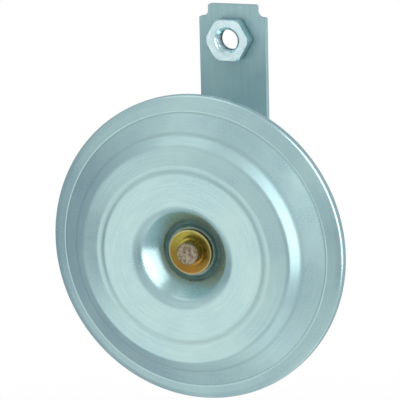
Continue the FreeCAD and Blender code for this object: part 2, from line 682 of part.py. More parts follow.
def screw_bush():
    """Threaded bush that rivets the breaker's base to the pot and carries the screw."""
    hole = ADJUST_RADIUS + STUD_PLAY
    seat = POT_SHEET + BASE_SHEET
    top = seat + BUSH_FLANGE_THICKNESS
    end = seat + BUSH_LENGTH
    return turned([(hole, 0, 0), (BUSH_RADIUS, 0, 0), (BUSH_RADIUS, seat, 0),
                   (BUSH_FLANGE_RADIUS, seat, 0), (BUSH_FLANGE_RADIUS, top, 0),
                   (BUSH_RADIUS, top, 0), (BUSH_RADIUS, end, 0), (hole, end, 0)], ADJUST_X)


def adjusting_screw():
    """Slotted hexagon screw from behind the pot to the breaker's base."""
    seat = -SEALANT_THICKNESS
    head = hexagon_blank(ADJUST_HEAD_FLATS, ADJUST_HEAD_HEIGHT)
    head.translate(Vector(ADJUST_X, -seat + ADJUST_HEAD_HEIGHT, AXIS_Z))
    shank = disc(ADJUST_RADIUS, seat - ADJUST_HEAD_HEIGHT, BASE_BACK, ADJUST_X)
    slot = Part.makeBox(2 * ADJUST_HEAD_FLATS, ADJUST_SLOT_DEPTH, ADJUST_SLOT_WIDTH)
    slot.translate(Vector(ADJUST_X - ADJUST_HEAD_FLATS,
                          -seat + ADJUST_HEAD_HEIGHT - ADJUST_SLOT_DEPTH,
                          AXIS_Z - ADJUST_SLOT_WIDTH / 2))
    return head.fuse(shank).removeSplitter().cut(slot)


def screw_sealant():
    """Collar of lacquer under the screw's head, which locks its setting."""
    return ring(ADJUST_RADIUS + STUD_PLAY, SEALANT_RADIUS, -SEALANT_THICKNESS, 0,
                SEALANT_THICKNESS / 2 - STUD_PLAY, ADJUST_X)


def terminal_plate():
    """Moulded insulating plate behind the pot, under the terminals."""
    half = TERMINAL_PLATE_WIDTH / 2
    outline = rectangle(-half, half, -TERMINAL_PLATE_BOTTOM, -TERMINAL_PLATE_TOP,
                        TERMINAL_PLATE_ROUND)
    blank = plate(outline, -TERMINAL_PLATE_THICKNESS, 0)
    return blank.cut(terminal_holes(-TERMINAL_PLATE_THICKNESS, 0))


def terminal_holes(low, high):
    """The two rivet holes through one layer at the terminals."""
    radius = TERMINAL_RIVET_RADIUS + STUD_PLAY
    holes = [disc(radius, low, high, side * TERMINAL_X, TERMINAL_DROP) for side in (-1, 1)]
    return Part.makeCompound(holes)


def inner_terminal_insulator():
    """Plate inside the pot, with collars that line the pot's two holes."""
    half = INNER_PLATE_WIDTH / 2
    front = POT_SHEET + INNER_PLATE_THICKNESS
    outline = rectangle(-half, half, -INNER_PLATE_BOTTOM, -INNER_PLATE_TOP, INNER_PLATE_ROUND)
    piece = plate(outline, POT_SHEET, front)
    for side in (-1, 1):
        collar = disc(TERMINAL_COLLAR_RADIUS, 0, front, side * TERMINAL_X, TERMINAL_DROP)
        piece = piece.fuse(collar)
    return piece.removeSplitter().cut(terminal_holes(0, front))


def blade_terminal(side):
    """Flat blade on the plate, its foot riveted down and its tongue bent to the back."""
    seat = -TERMINAL_PLATE_THICKNESS
    tip = seat - BLADE_SHEET - BLADE_REACH
    chain = [(-BLADE_FOOT_TOP, seat, 0), (-BLADE_FOOT_BOTTOM, seat, BLADE_BEND_ROUND),
             (-BLADE_FOOT_BOTTOM, tip, 0)]
    left = side * TERMINAL_X - BLADE_WIDTH / 2
    right = left + BLADE_WIDTH
    face = face_of(sheet_outline(chain, BLADE_SHEET), lambda a, b: Vector(left, -b, AXIS_Z + a))
    blade = face.extrude(Vector(BLADE_WIDTH, 0, 0))
    cut = BLADE_TIP_CHAMFER
    silhouette = [(left, seat, 0), (left, tip + cut, 0), (left + cut, tip, 0),
                  (right - cut, tip, 0), (right, tip + cut, 0), (right, seat, 0)]
    low = AXIS_Z - BLADE_FOOT_BOTTOM - 1
    stencil = face_of(silhouette, lambda a, b: Vector(a, -b, low))
    blade = blade.common(stencil.extrude(Vector(0, 0, BLADE_FOOT_BOTTOM - BLADE_FOOT_TOP + 2)))
    hole = Part.makeCylinder(BLADE_HOLE_RADIUS, 3 * BLADE_SHEET,
                             Vector(side * TERMINAL_X, -(tip + BLADE_HOLE_FROM_TIP),
                                    AXIS_Z - BLADE_FOOT_BOTTOM - BLADE_SHEET))
    blade = blade.cut(hole)
    rivet_hole = disc(TERMINAL_RIVET_RADIUS + STUD_PLAY, seat - BLADE_SHEET, seat,
                      side * TERMINAL_X, TERMINAL_DROP)
    return blade.cut(rivet_hole)


def terminal_rivets():
    """Rivets that clamp the blades, both insulators and the pot, and carry the current in."""
    seat = -TERMINAL_PLATE_THICKNESS - BLADE_SHEET
    inside = POT_SHEET + INNER_PLATE_THICKNESS
    rivets = []
    for side in (-1, 1):
        low = seat - TERMINAL_HEAD_HEIGHT
        high = inside + TERMINAL_HEAD_HEIGHT
        rivets.append(turned([(0, low, 0), (TERMINAL_HEAD_RADIUS, low, CLAMP_PIECE_ROUND),
                              (TERMINAL_HEAD_RADIUS, seat, 0), (TERMINAL_RIVET_RADIUS, seat, 0),
                              (TERMINAL_RIVET_RADIUS, inside, 0), (TERMINAL_HEAD_RADIUS, inside, 0),
                              (TERMINAL_HEAD_RADIUS, high, 0), (0, high, 0)],
                             side * TERMINAL_X, TERMINAL_DROP))
    return Part.makeCompound(rivets)


def lead(points):
    """Round lead along straight runs joined by arcs; points are (x, height, z from the axis)."""
    corners = [Vector(x, -height, AXIS_Z + z) for x, height, z in points]
    path = rounded_wire(corners, [LEAD_BEND] * len(corners), False)
    start = corners[0]
    section = Part.Wire(Part.makeCircle(LEAD_RADIUS, start, corners[1] - start))
    return path.makePipeShell([section], True, False)


def coil_lead():
    """Lead from the left terminal's rivet up to the winding."""
    rivet_top = POT_SHEET + INNER_PLATE_THICKNESS + TERMINAL_HEAD_HEIGHT
    level = rivet_top + LEAD_BEND + LEAD_RADIUS
    winding = BOBBIN_RADIUS - WINDING_MARGIN
    touch = -math.sqrt(winding ** 2 - (TERMINAL_X - LEAD_RADIUS) ** 2)
    return lead([(-TERMINAL_X, rivet_top, -TERMINAL_DROP), (-TERMINAL_X, level, -TERMINAL_DROP),
                 (-TERMINAL_X, level, touch)])


def breaker_lead():
    """Lead from the right terminal's rivet round the coil to the breaker's arm."""
    rivet_top = POT_SHEET + INNER_PLATE_THICKNESS + TERMINAL_HEAD_HEIGHT
    level = rivet_top + LEAD_BEND + LEAD_RADIUS
    end_x = (STACK_INNER_X + STACK_OUTER_X) / 2
    arm_level = (ARM_BACK + ARM_FRONT) / 2
    side = -BREAKER_WIDTH / 2
    away = side - 2 * LEAD_BEND
    return lead([(TERMINAL_X, rivet_top, -TERMINAL_DROP), (TERMINAL_X, level, -TERMINAL_DROP),
                 (end_x, level, away), (end_x, arm_level, away), (end_x, arm_level, side)])


PIECES = {
    "tone_disc": tone_disc(),
    "backing_washer": backing_washer(),
    "dished_washer": dished_washer(),
    "centre_stud": centre_stud(),
    "spacer_sleeve": spacer_sleeve(),
    "stiffening_washer": stiffening_washer(),
    "armature": armature(),
    "diaphragm": diaphragm(),
    "back_gasket": gasket(POT_DEPTH),
    "front_gasket": gasket(DIAPHRAGM_FRONT),
    "housing_pot": housing_pot(),
    "magnet_core": magnet_core(),
    "coil_bobbin": coil_bobbin(),
    "coil_winding": coil_winding(),
    "breaker_base": breaker_base(),
    "lower_insulator": stack_insulator(BASE_FRONT, LEAF_BACK, RIVET_RADIUS + BREAKER_PLAY),
    "middle_insulator": stack_insulator(LEAF_FRONT, ARM_BACK, sleeve_radius() + BREAKER_PLAY),
    "upper_insulator": stack_insulator(ARM_FRONT, STACK_FRONT, RIVET_RADIUS + BREAKER_PLAY),
    "contact_leaf": contact_leaf(),
    "moving_contact": moving_contact(),
    "pusher_pad": pusher_pad(),
    "contact_arm": contact_arm(),
    "fixed_contact": fixed_contact(),
    "breaker_rivets": breaker_rivets(),
    "rivet_sleeves": rivet_sleeves(),
    "screw_bush": screw_bush(),
    "adjusting_screw": adjusting_screw(),
    "screw_sealant": screw_sealant(),
    "terminal_plate": terminal_plate(),
    "inner_terminal_insulator": inner_terminal_insulator(),
    "left_terminal": blade_terminal(-1),
    "right_terminal": blade_terminal(1),
    "terminal_rivets": terminal_rivets(),
    "coil_lead": coil_lead(),
    "breaker_lead": breaker_lead(),
    "mounting_bracket": mounting_bracket(),
    "bracket_nut": bracket_nut(),
    "spring_washer": spring_washer(),
    "stud_nut": stud_nut(),
}

os.makedirs("parts", exist_ok=True)
for name, shape in PIECES.items():
    shape.exportStep("parts/" + name + ".step")
    print(name, len(shape.Solids), "solid(s)", round(shape.Volume, 1), "mm3",
          "valid" if shape.isValid() else "NOT VALID")
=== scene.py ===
# %% [markdown]
# # A disc horn, from CAD solids to a finished picture
# The horn's solids are already built in CAD, in metres, with +Z up and the tone disc facing -Y.
# They load here as a fixed frame: their places are never changed. This script only dresses them.
# It sets the camera and the studio, replaces the pieces that deserve finer meshes, and gives
# each piece the finish of the real one.

# %% Load the frame
import math

import bmesh
import bpy
from mathutils import Matrix, Vector


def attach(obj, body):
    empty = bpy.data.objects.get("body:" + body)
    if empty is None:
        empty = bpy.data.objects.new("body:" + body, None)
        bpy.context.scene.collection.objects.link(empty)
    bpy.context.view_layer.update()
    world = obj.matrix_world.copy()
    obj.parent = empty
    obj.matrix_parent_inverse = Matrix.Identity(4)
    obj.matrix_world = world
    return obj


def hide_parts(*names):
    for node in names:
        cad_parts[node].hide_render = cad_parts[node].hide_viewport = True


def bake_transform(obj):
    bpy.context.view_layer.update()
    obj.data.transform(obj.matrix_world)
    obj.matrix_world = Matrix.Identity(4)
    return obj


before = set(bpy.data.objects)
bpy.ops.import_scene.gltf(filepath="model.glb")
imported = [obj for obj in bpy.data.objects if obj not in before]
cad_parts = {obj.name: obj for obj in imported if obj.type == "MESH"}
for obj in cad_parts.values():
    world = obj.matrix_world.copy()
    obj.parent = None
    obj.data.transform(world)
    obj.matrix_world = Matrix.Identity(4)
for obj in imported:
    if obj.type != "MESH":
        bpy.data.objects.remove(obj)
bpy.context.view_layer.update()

# %% [markdown]
# ## Measures
# Every turned piece of the horn shares one axis, which runs along Y below the mounting nut. So a
# point of such a piece needs only two numbers: its radius from the axis, and its height in front
# of the housing's back. Both are written in millimetres here, as on a workshop drawing, and turned
# to metres in one place.

# %% Scale and axis
MM = 0.001
AXIS_Z = -60.9
STRIP_SHEET = 2.5
RIM_BACK = 32.3


def at(x, height, z):
    """Place in Blender of a point given in millimetres: across, in front of the back, and up."""
    return Vector((x * MM, -height * MM, z * MM))


print("horn axis at z =", AXIS_Z, "mm")

# %% [markdown]
# ## The camera
# The picture was taken with a long lens from the right of the horn and a little above it. Long
# lenses keep circles close to true ellipses, so the place of the camera was found from the ellipses
# of the disc's rings. A camera could be aimed with a constraint, but a matrix made from three
# directions also holds the small roll of the picture, and it stays put. The horn isn't quite in the
# middle of the picture, so the camera is moved sideways and up by a few millimetres.

# %% Camera
AZIMUTH = math.radians(22.48)
ELEVATION = math.radians(13.01)
ROLL = math.radians(1.40)
DISTANCE = 0.801
SENSOR_MM = 36.0
FOCAL_PIXELS = 2563.6
PICTURE_PIXELS = 400
AIM_RIGHT = 1.57
AIM_UP = 15.09
RIM_MIDDLE = RIM_BACK + 2.06
rim_middle = at(0, RIM_MIDDLE, AXIS_Z)

backwards = Vector((math.sin(AZIMUTH) * math.cos(ELEVATION),
                    -math.cos(AZIMUTH) * math.cos(ELEVATION), math.sin(ELEVATION)))
level_right = Vector((math.cos(AZIMUTH), math.sin(AZIMUTH), 0))
level_up = backwards.cross(level_right)
camera_data = bpy.data.cameras.new("long_lens")
camera_data.sensor_width = SENSOR_MM
camera_data.lens = FOCAL_PIXELS / PICTURE_PIXELS * SENSOR_MM
camera = bpy.data.objects.new("photo_camera", camera_data)
right = level_right * math.cos(ROLL) - level_up * math.sin(ROLL)
up = level_right * math.sin(ROLL) + level_up * math.cos(ROLL)
place = (rim_middle + level_right * AIM_RIGHT * MM + level_up * AIM_UP * MM
         + backwards * DISTANCE)
camera.matrix_world = Matrix([(right[i], up[i], backwards[i], place[i]) for i in range(3)]
                             + [(0, 0, 0, 1)])
bpy.context.scene.collection.objects.link(camera)
bpy.context.scene.camera = camera
print("lens", round(camera_data.lens, 1), "mm at", [round(c, 3) for c in place])

# %% [markdown]
# ## Colours and nodes
# Colours are picked as the sRGB hex values that a paint program shows, but shaders work in linear
# light, so one function converts them. A second small function adds a node, sets its properties
# and fills or links its inputs. Everything below is made with it. A node can be given in place of
# one of its outputs, and then its first one is meant.

# %% Colour and node helpers
def linear(code):
    """Linear RGBA of an sRGB hex colour such as #C6DEDD."""
    values = []
    for start in (1, 3, 5):
        share = int(code[start:start + 2], 16) / 255
        values.append(share / 12.92 if share <= 0.04045 else ((share + 0.055) / 1.055) ** 2.4)
    return (*values, 1.0)


def add(tree, kind, inputs=None, **settings):
    """Adds a node. Its inputs are numbers, hex colours, or the nodes or outputs that feed them."""
    node = tree.nodes.new(kind)
    for name, value in settings.items():
        setattr(node, name, value)
    for name, value in (inputs or {}).items():
        if isinstance(value, bpy.types.Node):
            value = next(output for output in value.outputs if output.enabled)
        if isinstance(value, bpy.types.NodeSocket):
            tree.links.new(value, node.inputs[name])
        else:
            node.inputs[name].default_value = linear(value) if isinstance(value, str) else value
    return node


print("linear grey of #808080:", round(linear("#808080")[0], 3))

# %% [markdown]
# ## The studio
# Bare metal has hardly any colour of its own: it shows what stands round it. Plated parts are
# photographed in a tent with a soft box on one side, and with panels hung where a bend should turn
# light or dark. The panels could be sheets in the scene, but a reflection of something far away
# depends only on its direction. So they are painted into the world. Each has a name, a direction,
# the angles away from it at which it starts and stops fading, and a tone. Only reflections see
# them: the camera sees plain white, and matt things are lit by an even and dimmer tent.

# %% Tent and panels
def heading(azimuth, elevation):
    """Direction so many degrees to the right of straight ahead of the disc, and above level."""
    turn, lift = math.radians(azimuth), math.radians(elevation)
    return (math.cos(lift) * math.sin(turn), -math.cos(lift) * math.cos(turn), math.sin(lift))


TENT_TONE = "#C4CACC"
MATT_LIGHT = 0.75
panels = [("behind", heading(180, -5), 40, 80, "#A9AEB5"),
          ("left", heading(-100, -14), 22, 52, "#9AA3AB"),
          ("lower_left", heading(-85, -42), 8, 28, "#A9AFB8"),
          ("lower_front", heading(38, -58), 8, 24, "#D2D5D6"),
          ("lower_right", heading(100, -66), 10, 26, "#F4F6F6"),
          ("right_front", heading(46, -10), 8, 22, "#979DA2"),
          ("upper_front", heading(-28, 34), 6, 26, "#DFE0E0"),
          ("front", heading(-33, -22), 9, 40, "#FFFEFB"),
          ("camera_side", heading(15, -10), 2, 15, "#A9AFB2"),
          ("left_edge", heading(-52, -11), 6, 17, "#8D979F"),
          ("roof", heading(-100, 72), 16, 28, "#FFFFFF")]

print("panels:", [panel[0] for panel in panels])

# %% [markdown]
# The world's shader follows that table: each panel is a soft round patch, mixed over the ones
# before it. A ray that bounced off metal meets the panels, the camera's own rays meet white, and
# what lights the matt parts is the even tent, at a lower strength.

# %% World of the tent
def white_tent(name):
    """World that is white to the camera, panelled to reflections and even to all else."""
    world = bpy.data.worlds.new(name)
    world.use_nodes = True
    tree = world.node_tree
    tree.nodes.clear()
    way = add(tree, "ShaderNodeTexCoord").outputs["Generated"]
    tone = TENT_TONE
    for label, direction, starts, ends, colour in panels:
        near = add(tree, "ShaderNodeVectorMath", {0: way, 1: direction}, operation="DOT_PRODUCT")
        share = add(tree, "ShaderNodeMapRange",
                    {"Value": near, "From Min": math.cos(math.radians(ends)),
                     "From Max": math.cos(math.radians(starts))}, interpolation_type="SMOOTHSTEP")
        tone = add(tree, "ShaderNodeMix", {"Factor": share, 6: tone, 7: colour},
                   data_type="RGBA", label=label)
    rays = add(tree, "ShaderNodeLightPath")
    tone = add(tree, "ShaderNodeMix", {"Factor": rays.outputs["Is Glossy Ray"], 6: "#FFFFFF",
                                       7: tone}, data_type="RGBA")
    seen = rays.outputs["Is Camera Ray"]
    for kind in ("Is Glossy Ray", "Is Transmission Ray"):
        seen = add(tree, "ShaderNodeMath", {0: seen, 1: rays.outputs[kind]}, operation="MAXIMUM")
    strength = add(tree, "ShaderNodeMapRange", {"Value": seen, "To Min": MATT_LIGHT, "To Max": 1.0})
    light = add(tree, "ShaderNodeBackground", {"Color": tone, "Strength": strength})
    add(tree, "ShaderNodeOutputWorld", {"Surface": light})
    return world


bpy.context.scene.world = white_tent("white_tent")
bpy.context.scene.view_settings.view_transform = "Standard"
print("world:", bpy.context.scene.world.name, "with", len(panels), "panels")

# %% [markdown]
# The soft box is an area lamp to the right of the horn, tall and narrow, so that it draws a bright
# line along each bend that faces it. Its power is worked out from the brightness that its face
# should show in the metal.

# %% Soft box
DISC_CENTRE = at(0, RIM_BACK + 8, AXIS_Z)


def soft_box(name, direction, distance, width, height, radiance):
    """Rectangular lamp, aimed at the disc, whose face shows the stated brightness (1 is white)."""
    lamp = bpy.data.lights.new(name, "AREA")
    lamp.shape = "RECTANGLE"
    lamp.size = width
    lamp.size_y = height
    lamp.energy = radiance * math.pi * width * height
    obj = bpy.data.objects.new(name, lamp)
    towards = Vector(direction).normalized()
    obj.location = DISC_CENTRE + towards * distance
    obj.rotation_mode = "QUATERNION"
    obj.rotation_quaternion = towards.to_track_quat("Z", "Y")
    bpy.context.scene.collection.objects.link(obj)
    return obj


soft_box("right_soft_box", heading(82, 19), distance=0.9, width=0.42, height=1.40,
         radiance=2.6)

# %% [markdown]
# The horn hangs in front of a white background, as it hangs from its strip on a car. The floor is
# far enough below it to be out of the picture, and there for the other views, where it takes the
# horn's soft shadow. It fades out before it ends, so no edge shows. Reflections look
# past it, at the tent, and from underneath it is clear, so that the horn can be seen from below.

# %% Floor
FLOOR_DROP = 0.26
FLOOR_RADIUS = 0.55
PAPER_GLOW = 0.12
mesh = bpy.data.meshes.new("studio_floor")
shape = bmesh.new()
bmesh.ops.create_circle(shape, cap_ends=True, segments=96, radius=FLOOR_RADIUS)
shape.to_mesh(mesh)
shape.free()
floor = bpy.data.objects.new("studio_floor", mesh)
floor.location = (0, 0, -FLOOR_DROP)
bpy.context.scene.collection.objects.link(floor)
material = bpy.data.materials.new("white_paper_sweep")
material.use_nodes = True
tree = material.node_tree
tree.nodes.clear()
place = add(tree, "ShaderNodeTexCoord").outputs["Object"]
out = add(tree, "ShaderNodeVectorMath", {0: place}, operation="LENGTH")
fade = add(tree, "ShaderNodeMapRange", {"Value": out, "From Min": FLOOR_RADIUS,
                                        "From Max": FLOOR_RADIUS * 0.4},
           interpolation_type="SMOOTHSTEP")
grain = add(tree, "ShaderNodeTexNoise", {"Vector": place, "Scale": 180.0, "Detail": 4.0})
tone = add(tree, "ShaderNodeMix", {"Factor": grain, 6: "#F6F6F4", 7: "#FBFBFA"}, data_type="RGBA")
paper = add(tree, "ShaderNodeBsdfDiffuse", {"Color": tone, "Roughness": 0.6})
seen = add(tree, "ShaderNodeLightPath").outputs["Is Camera Ray"]
lift = add(tree, "ShaderNodeMath", {0: seen, 1: PAPER_GLOW}, operation="MULTIPLY")
glow = add(tree, "ShaderNodeEmission", {"Strength": lift})
paper = add(tree, "ShaderNodeAddShader", {0: paper, 1: glow})
clear = add(tree, "ShaderNodeBsdfTransparent")
under = add(tree, "ShaderNodeNewGeometry").outputs["Backfacing"]
shown = add(tree, "ShaderNodeMath", {0: fade, 1: under}, operation="SUBTRACT", use_clamp=True)
mix = add(tree, "ShaderNodeMixShader", {0: shown, 1: clear, 2: paper})
add(tree, "ShaderNodeOutputMaterial", {"Surface": mix})
mesh.materials.append(material)
floor.visible_glossy = False
print("floor", FLOOR_DROP, "m below the nut")

# %% [markdown]
# ## Outlines
# Sheet metal never has a sharp fold: each bend has an inner and an outer radius round the same
# centre. An outline is therefore kept as a short list of corners, each with its rounding, and the
# arcs are worked out. Moving such a chain sideways by the sheet's thickness, with the bends kept
# concentric, gives the other face of the sheet.

# %% Outline helpers
ARC_STEP = math.radians(7)


def rounded(corners):
    """Points along a chain of (a, b, radius) corners, with arcs at the rounded ones."""
    points = []
    for i, (a, b, radius) in enumerate(corners):
        here = Vector((a, b))
        if radius <= 0 or i in (0, len(corners) - 1):
            points.append(here)
            continue
        arriving = (here - Vector(corners[i - 1][:2])).normalized()
        leaving = (Vector(corners[i + 1][:2]) - here).normalized()
        turn = arriving.angle(leaving)
        if turn < 1e-4:
            points.append(here)
            continue
        start = here - arriving * radius * math.tan(turn / 2)
        inward = (leaving - arriving).normalized()
        centre = here + inward * radius / math.cos(turn / 2)
        side = math.copysign(1, arriving.x * leaving.y - arriving.y * leaving.x)
        steps = max(2, math.ceil(turn / ARC_STEP))
        spoke = start - centre
        for step in range(steps + 1):
            angle = side * turn * step / steps
            points.append(centre + Vector((spoke.x * math.cos(angle) - spoke.y * math.sin(angle),
                                           spoke.x * math.sin(angle) + spoke.y * math.cos(angle))))
    return points


print("arc steps of", round(math.degrees(ARC_STEP)), "degrees")

# %% [markdown]
# A sheet's second face is the first moved sideways by its thickness. A bend keeps its centre, so
# its radius is smaller on the inside and larger on the outside by just that much.

# %% Sheet helpers
def beside(chain, distance):
    """The chain moved to its left by a distance, its bends kept concentric."""
    moved = []
    for i, (a, b, radius) in enumerate(chain):
        before = chain[max(i - 1, 0)]
        after = chain[min(i + 1, len(chain) - 1)]
        here = Vector((a, b))
        arriving = here - Vector(before[:2])
        leaving = Vector(after[:2]) - here
        arriving = (arriving if arriving.length > 1e-6 else leaving).normalized()
        leaving = (leaving if leaving.length > 1e-6 else arriving).normalized()
        step = distance / (1 + arriving.dot(leaving))
        turn = arriving.x * leaving.y - arriving.y * leaving.x
        bend = max(radius - math.copysign(distance, turn), 0) if radius > 0 else 0
        across = (arriving + leaving) * step
        moved.append((a - across.y, b + across.x, bend))
    return moved


def sheet(chain, thickness):
    """Closed outline of a bent sheet, from the chain of one of its faces."""
    return rounded(chain) + rounded(beside(chain, thickness))[::-1]


def with_stops(points, longest, closed=True):
    """The same outline with its long straight runs divided, so that no face is a long strip.

    An open one ends at its last point. Divided as a closed one, it would grow a run back to its
    start, and the turned piece a skin there.
    """
    full = []
    for i, point in enumerate(points):
        full.append(point)
        if i + 1 == len(points) and not closed:
            break
        following = points[(i + 1) % len(points)]
        parts = math.ceil((following - point).length / longest)
        for k in range(1, parts):
            full.append(point.lerp(following, k / parts))
    return full


inner_face = beside([(0, 0, 0), (10, 0, 3), (10, 10, 0)], 1.0)
print("a 3 mm bend in 1 mm sheet is", inner_face[1][2], "mm round on the inside")

# %% [markdown]
# ## Turning an outline
# A pressed disc, a washer or a stud is an outline turned about an axis. Blender has a Screw
# modifier for it, but writing the rings directly leaves an even grid, lets the ends meet in one
# point on the axis, and lets a thread or a hexagon vary the radius on the way round.

# %% From a shape to a piece
SHARP_EDGE = 35.0


def finish_piece(name, shape, body, replaced, sharp=SHARP_EDGE):
    """Turns a bmesh into a piece on its body, if it has one, that stands for some CAD nodes."""
    bmesh.ops.remove_doubles(shape, verts=shape.verts, dist=1e-7)
    bmesh.ops.recalc_face_normals(shape, faces=shape.faces)
    mesh = bpy.data.meshes.new(name)
    shape.to_mesh(mesh)
    shape.free()
    mesh.shade_smooth()
    mesh.set_sharp_from_angle(angle=math.radians(sharp))
    piece = bpy.data.objects.new(name, mesh)
    bpy.context.scene.collection.objects.link(piece)
    if body:
        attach(piece, body)
    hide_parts(*replaced)
    print(name, "has", len(mesh.polygons), "faces")
    return piece


print("edges of more than", SHARP_EDGE, "degrees stay sharp, where a piece says nothing else")

# %% [markdown]
# A turned shape is a stack of rings, each a list of (radius, height) points on the way round. A
# ring of radius 0 becomes one point on the axis. A closed stack, as for a nut, also joins its last
# ring to its first.

# %% Ring helpers
def add_rings(shape, rings, closed, axis_z=AXIS_Z):
    """Joins rings of (radius, height) points, one ring to the next, about a line along Y."""
    rows = []
    for ring in rings:
        count = len(ring)
        if max(radius for radius, height in ring) < 1e-6:
            rows.append([shape.verts.new(at(0, ring[0][1], axis_z))] * count)
            continue
        row = []
        for k, (radius, height) in enumerate(ring):
            angle = 2 * math.pi * k / count
            row.append(shape.verts.new(at(radius * math.cos(angle), height,
                                          axis_z + radius * math.sin(angle))))
        rows.append(row)
    pairs = list(zip(rows, rows[1:]))
    if closed:
        pairs.append((rows[-1], rows[0]))
    for low, high in pairs:
        for k in range(len(low)):
            nxt = (k + 1) % len(low)
            corners = []
            for vert in (low[k], low[nxt], high[nxt], high[k]):
                if vert not in corners:
                    corners.append(vert)
            if len(corners) > 2:
                shape.faces.new(corners)


def turned(shape, points, segments):
    """Adds a closed outline of (radius, height) points turned all the way round the horn's axis."""
    add_rings(shape, [[(p.x, p.y)] * segments for p in points], closed=True)


print("a mesh of 96 steps round the axis turns", 360 / 96, "degrees a step")

# %% [markdown]
# ## The tone disc
# The disc that rings is one pressing of 1.2 mm steel. From outside in it has a rolled rim, a
# sloping flange that ends in a fine groove, a cone up to a rounded shoulder, a plateau with a
# crease struck into it, and a deep dimple for the stud. A small change of a slope shows at once in
# what the metal mirrors, so the corners of the outline are where the work is. They are listed from
# the rim inwards, each with its radius, its height above the rim's back and its rounding. The grid
# is fine enough that no facet shows even where the rim is seen edge on.

# %% Tone disc
DISC_RADIUS = 48.7
DISC_SHEET = 1.2
SEAT_HEIGHT = 5.0
DISC_SEGMENTS = 288
CREASE_RADIUS = 27.35
CREASE_HALF_WIDTH = 1.5
CREASE_DEPTH = 0.22
CREASE_STEP = 0.35
STUD_HOLE = 3.65
disc_chain = [(DISC_RADIUS, 0, 0), (DISC_RADIUS, 2.3, 1.5), (46.8, 3.38, 5.0), (44.2, 4.38, 0.3),
              (43.8, 4.32, 0.3), (37.3, 9.57, 9.0), (34.5, 12.38, 2.2),
              (CREASE_RADIUS, 13.78, 4.0), (15.1, 13.9, 4.8), (8.1, SEAT_HEIGHT, 0.7),
              (STUD_HOLE, SEAT_HEIGHT, 0)]


def creased(points):
    """Adds the struck crease to the disc's front as a soft V."""
    made = []
    for point in with_stops(points, CREASE_STEP, closed=False):
        inside = max(0.0, 1 - abs(point.x - CREASE_RADIUS) / CREASE_HALF_WIDTH)
        dip = CREASE_DEPTH * inside * inside * (3 - 2 * inside)
        made.append(Vector((point.x, point.y - dip)))
    return made


front = creased(rounded(disc_chain))
back = rounded(beside(disc_chain, DISC_SHEET))[::-1]
shape = bmesh.new()
turned(shape, [Vector((p.x, p.y + RIM_BACK)) for p in front + back], DISC_SEGMENTS)
tone_disc = finish_piece("tone_disc_pressing", shape, "sounder", ["tone_disc"],
                         sharp=50)

# %% [markdown]
# ## Patterns
# No metal is one flat colour: plating is cloudy, rolling and turning leave fine lines, and handling
# leaves scratches. All of it is made from noise in the piece's own coordinates, so no picture has
# to be wrapped round it. Patch sizes are the real ones in millimetres. Only the grain of the
# plating, which is a few hundredths of a millimetre, is drawn coarser, so that it shows at all.
# Noise hardly ever reaches 0 or 1, so what counts of it is usually the middle of its range.

# %% Pattern helpers
MIDDLE = (0.3, 0.7)
WHOLE = (0.0, 1.0)


def new_finish(name, colour, metallic, roughness):
    """A material, with its tree, its shader and the piece's own coordinates."""
    material = bpy.data.materials.new(name)
    material.use_nodes = True
    tree = material.node_tree
    shader = tree.nodes["Principled BSDF"]
    shader.inputs["Base Color"].default_value = linear(colour)
    shader.inputs["Metallic"].default_value = metallic
    shader.inputs["Roughness"].default_value = roughness
    place = add(tree, "ShaderNodeTexCoord").outputs["Object"]
    return material, tree, shader, place


def mottle(tree, place, patch_mm, stretch=(1, 1, 1), detail=4.0):
    """Soft patches of a real size, from 0 to 1, longer in a direction where stretch is below 1."""
    lie = add(tree, "ShaderNodeVectorMath",
              {0: place, 1: [share / (patch_mm * MM) for share in stretch]}, operation="MULTIPLY")
    return add(tree, "ShaderNodeTexNoise", {"Vector": lie, "Scale": 1.0, "Detail": detail})


def tinted(tree, base, tint, pattern, shares=WHOLE, span=MIDDLE):
    """Colour that moves from base to tint by shares, as a pattern goes over a span of values."""
    share = add(tree, "ShaderNodeMapRange", {"Value": pattern, "From Min": span[0],
                                             "From Max": span[1], "To Min": shares[0],
                                             "To Max": shares[1]})
    return add(tree, "ShaderNodeMix", {"Factor": share, 6: base, 7: tint}, data_type="RGBA")


print("a patch of 13 mm is a noise scale of", round(1 / (13 * MM)), "per metre")

# %% [markdown]
# A pattern also changes how rough the metal is and how far its surface stands up, which catches
# the eye more than its colour does. Reliefs are given as real depths, down to about a thousandth
# of a millimetre.

# %% Roughness, relief and scratches
def give_surface(tree, shader, colour, *parts):
    """Gives the shader its colour, and a roughness that is the sum of what patterns add to it.

    Each part is a pattern, the span of its values that counts, and what they add.
    """
    total = None
    for pattern, span, adds in parts:
        part = add(tree, "ShaderNodeMapRange", {"Value": pattern, "From Min": span[0],
                                                "From Max": span[1], "To Min": adds[0],
                                                "To Max": adds[1]})
        total = part if total is None else add(tree, "ShaderNodeMath", {0: total, 1: part})
    tree.links.new(total.outputs[0], shader.inputs["Roughness"])
    tree.links.new(colour.outputs[2], shader.inputs["Base Color"])


def raise_by(tree, shader, height, depth_mm):
    """Adds a relief of a real depth to the shader's surface, on top of any already there."""
    bump = add(tree, "ShaderNodeBump", {"Height": height, "Distance": depth_mm * MM})
    if shader.inputs["Normal"].is_linked:
        tree.links.new(shader.inputs["Normal"].links[0].from_socket, bump.inputs["Normal"])
    tree.links.new(bump.outputs[0], shader.inputs["Normal"])


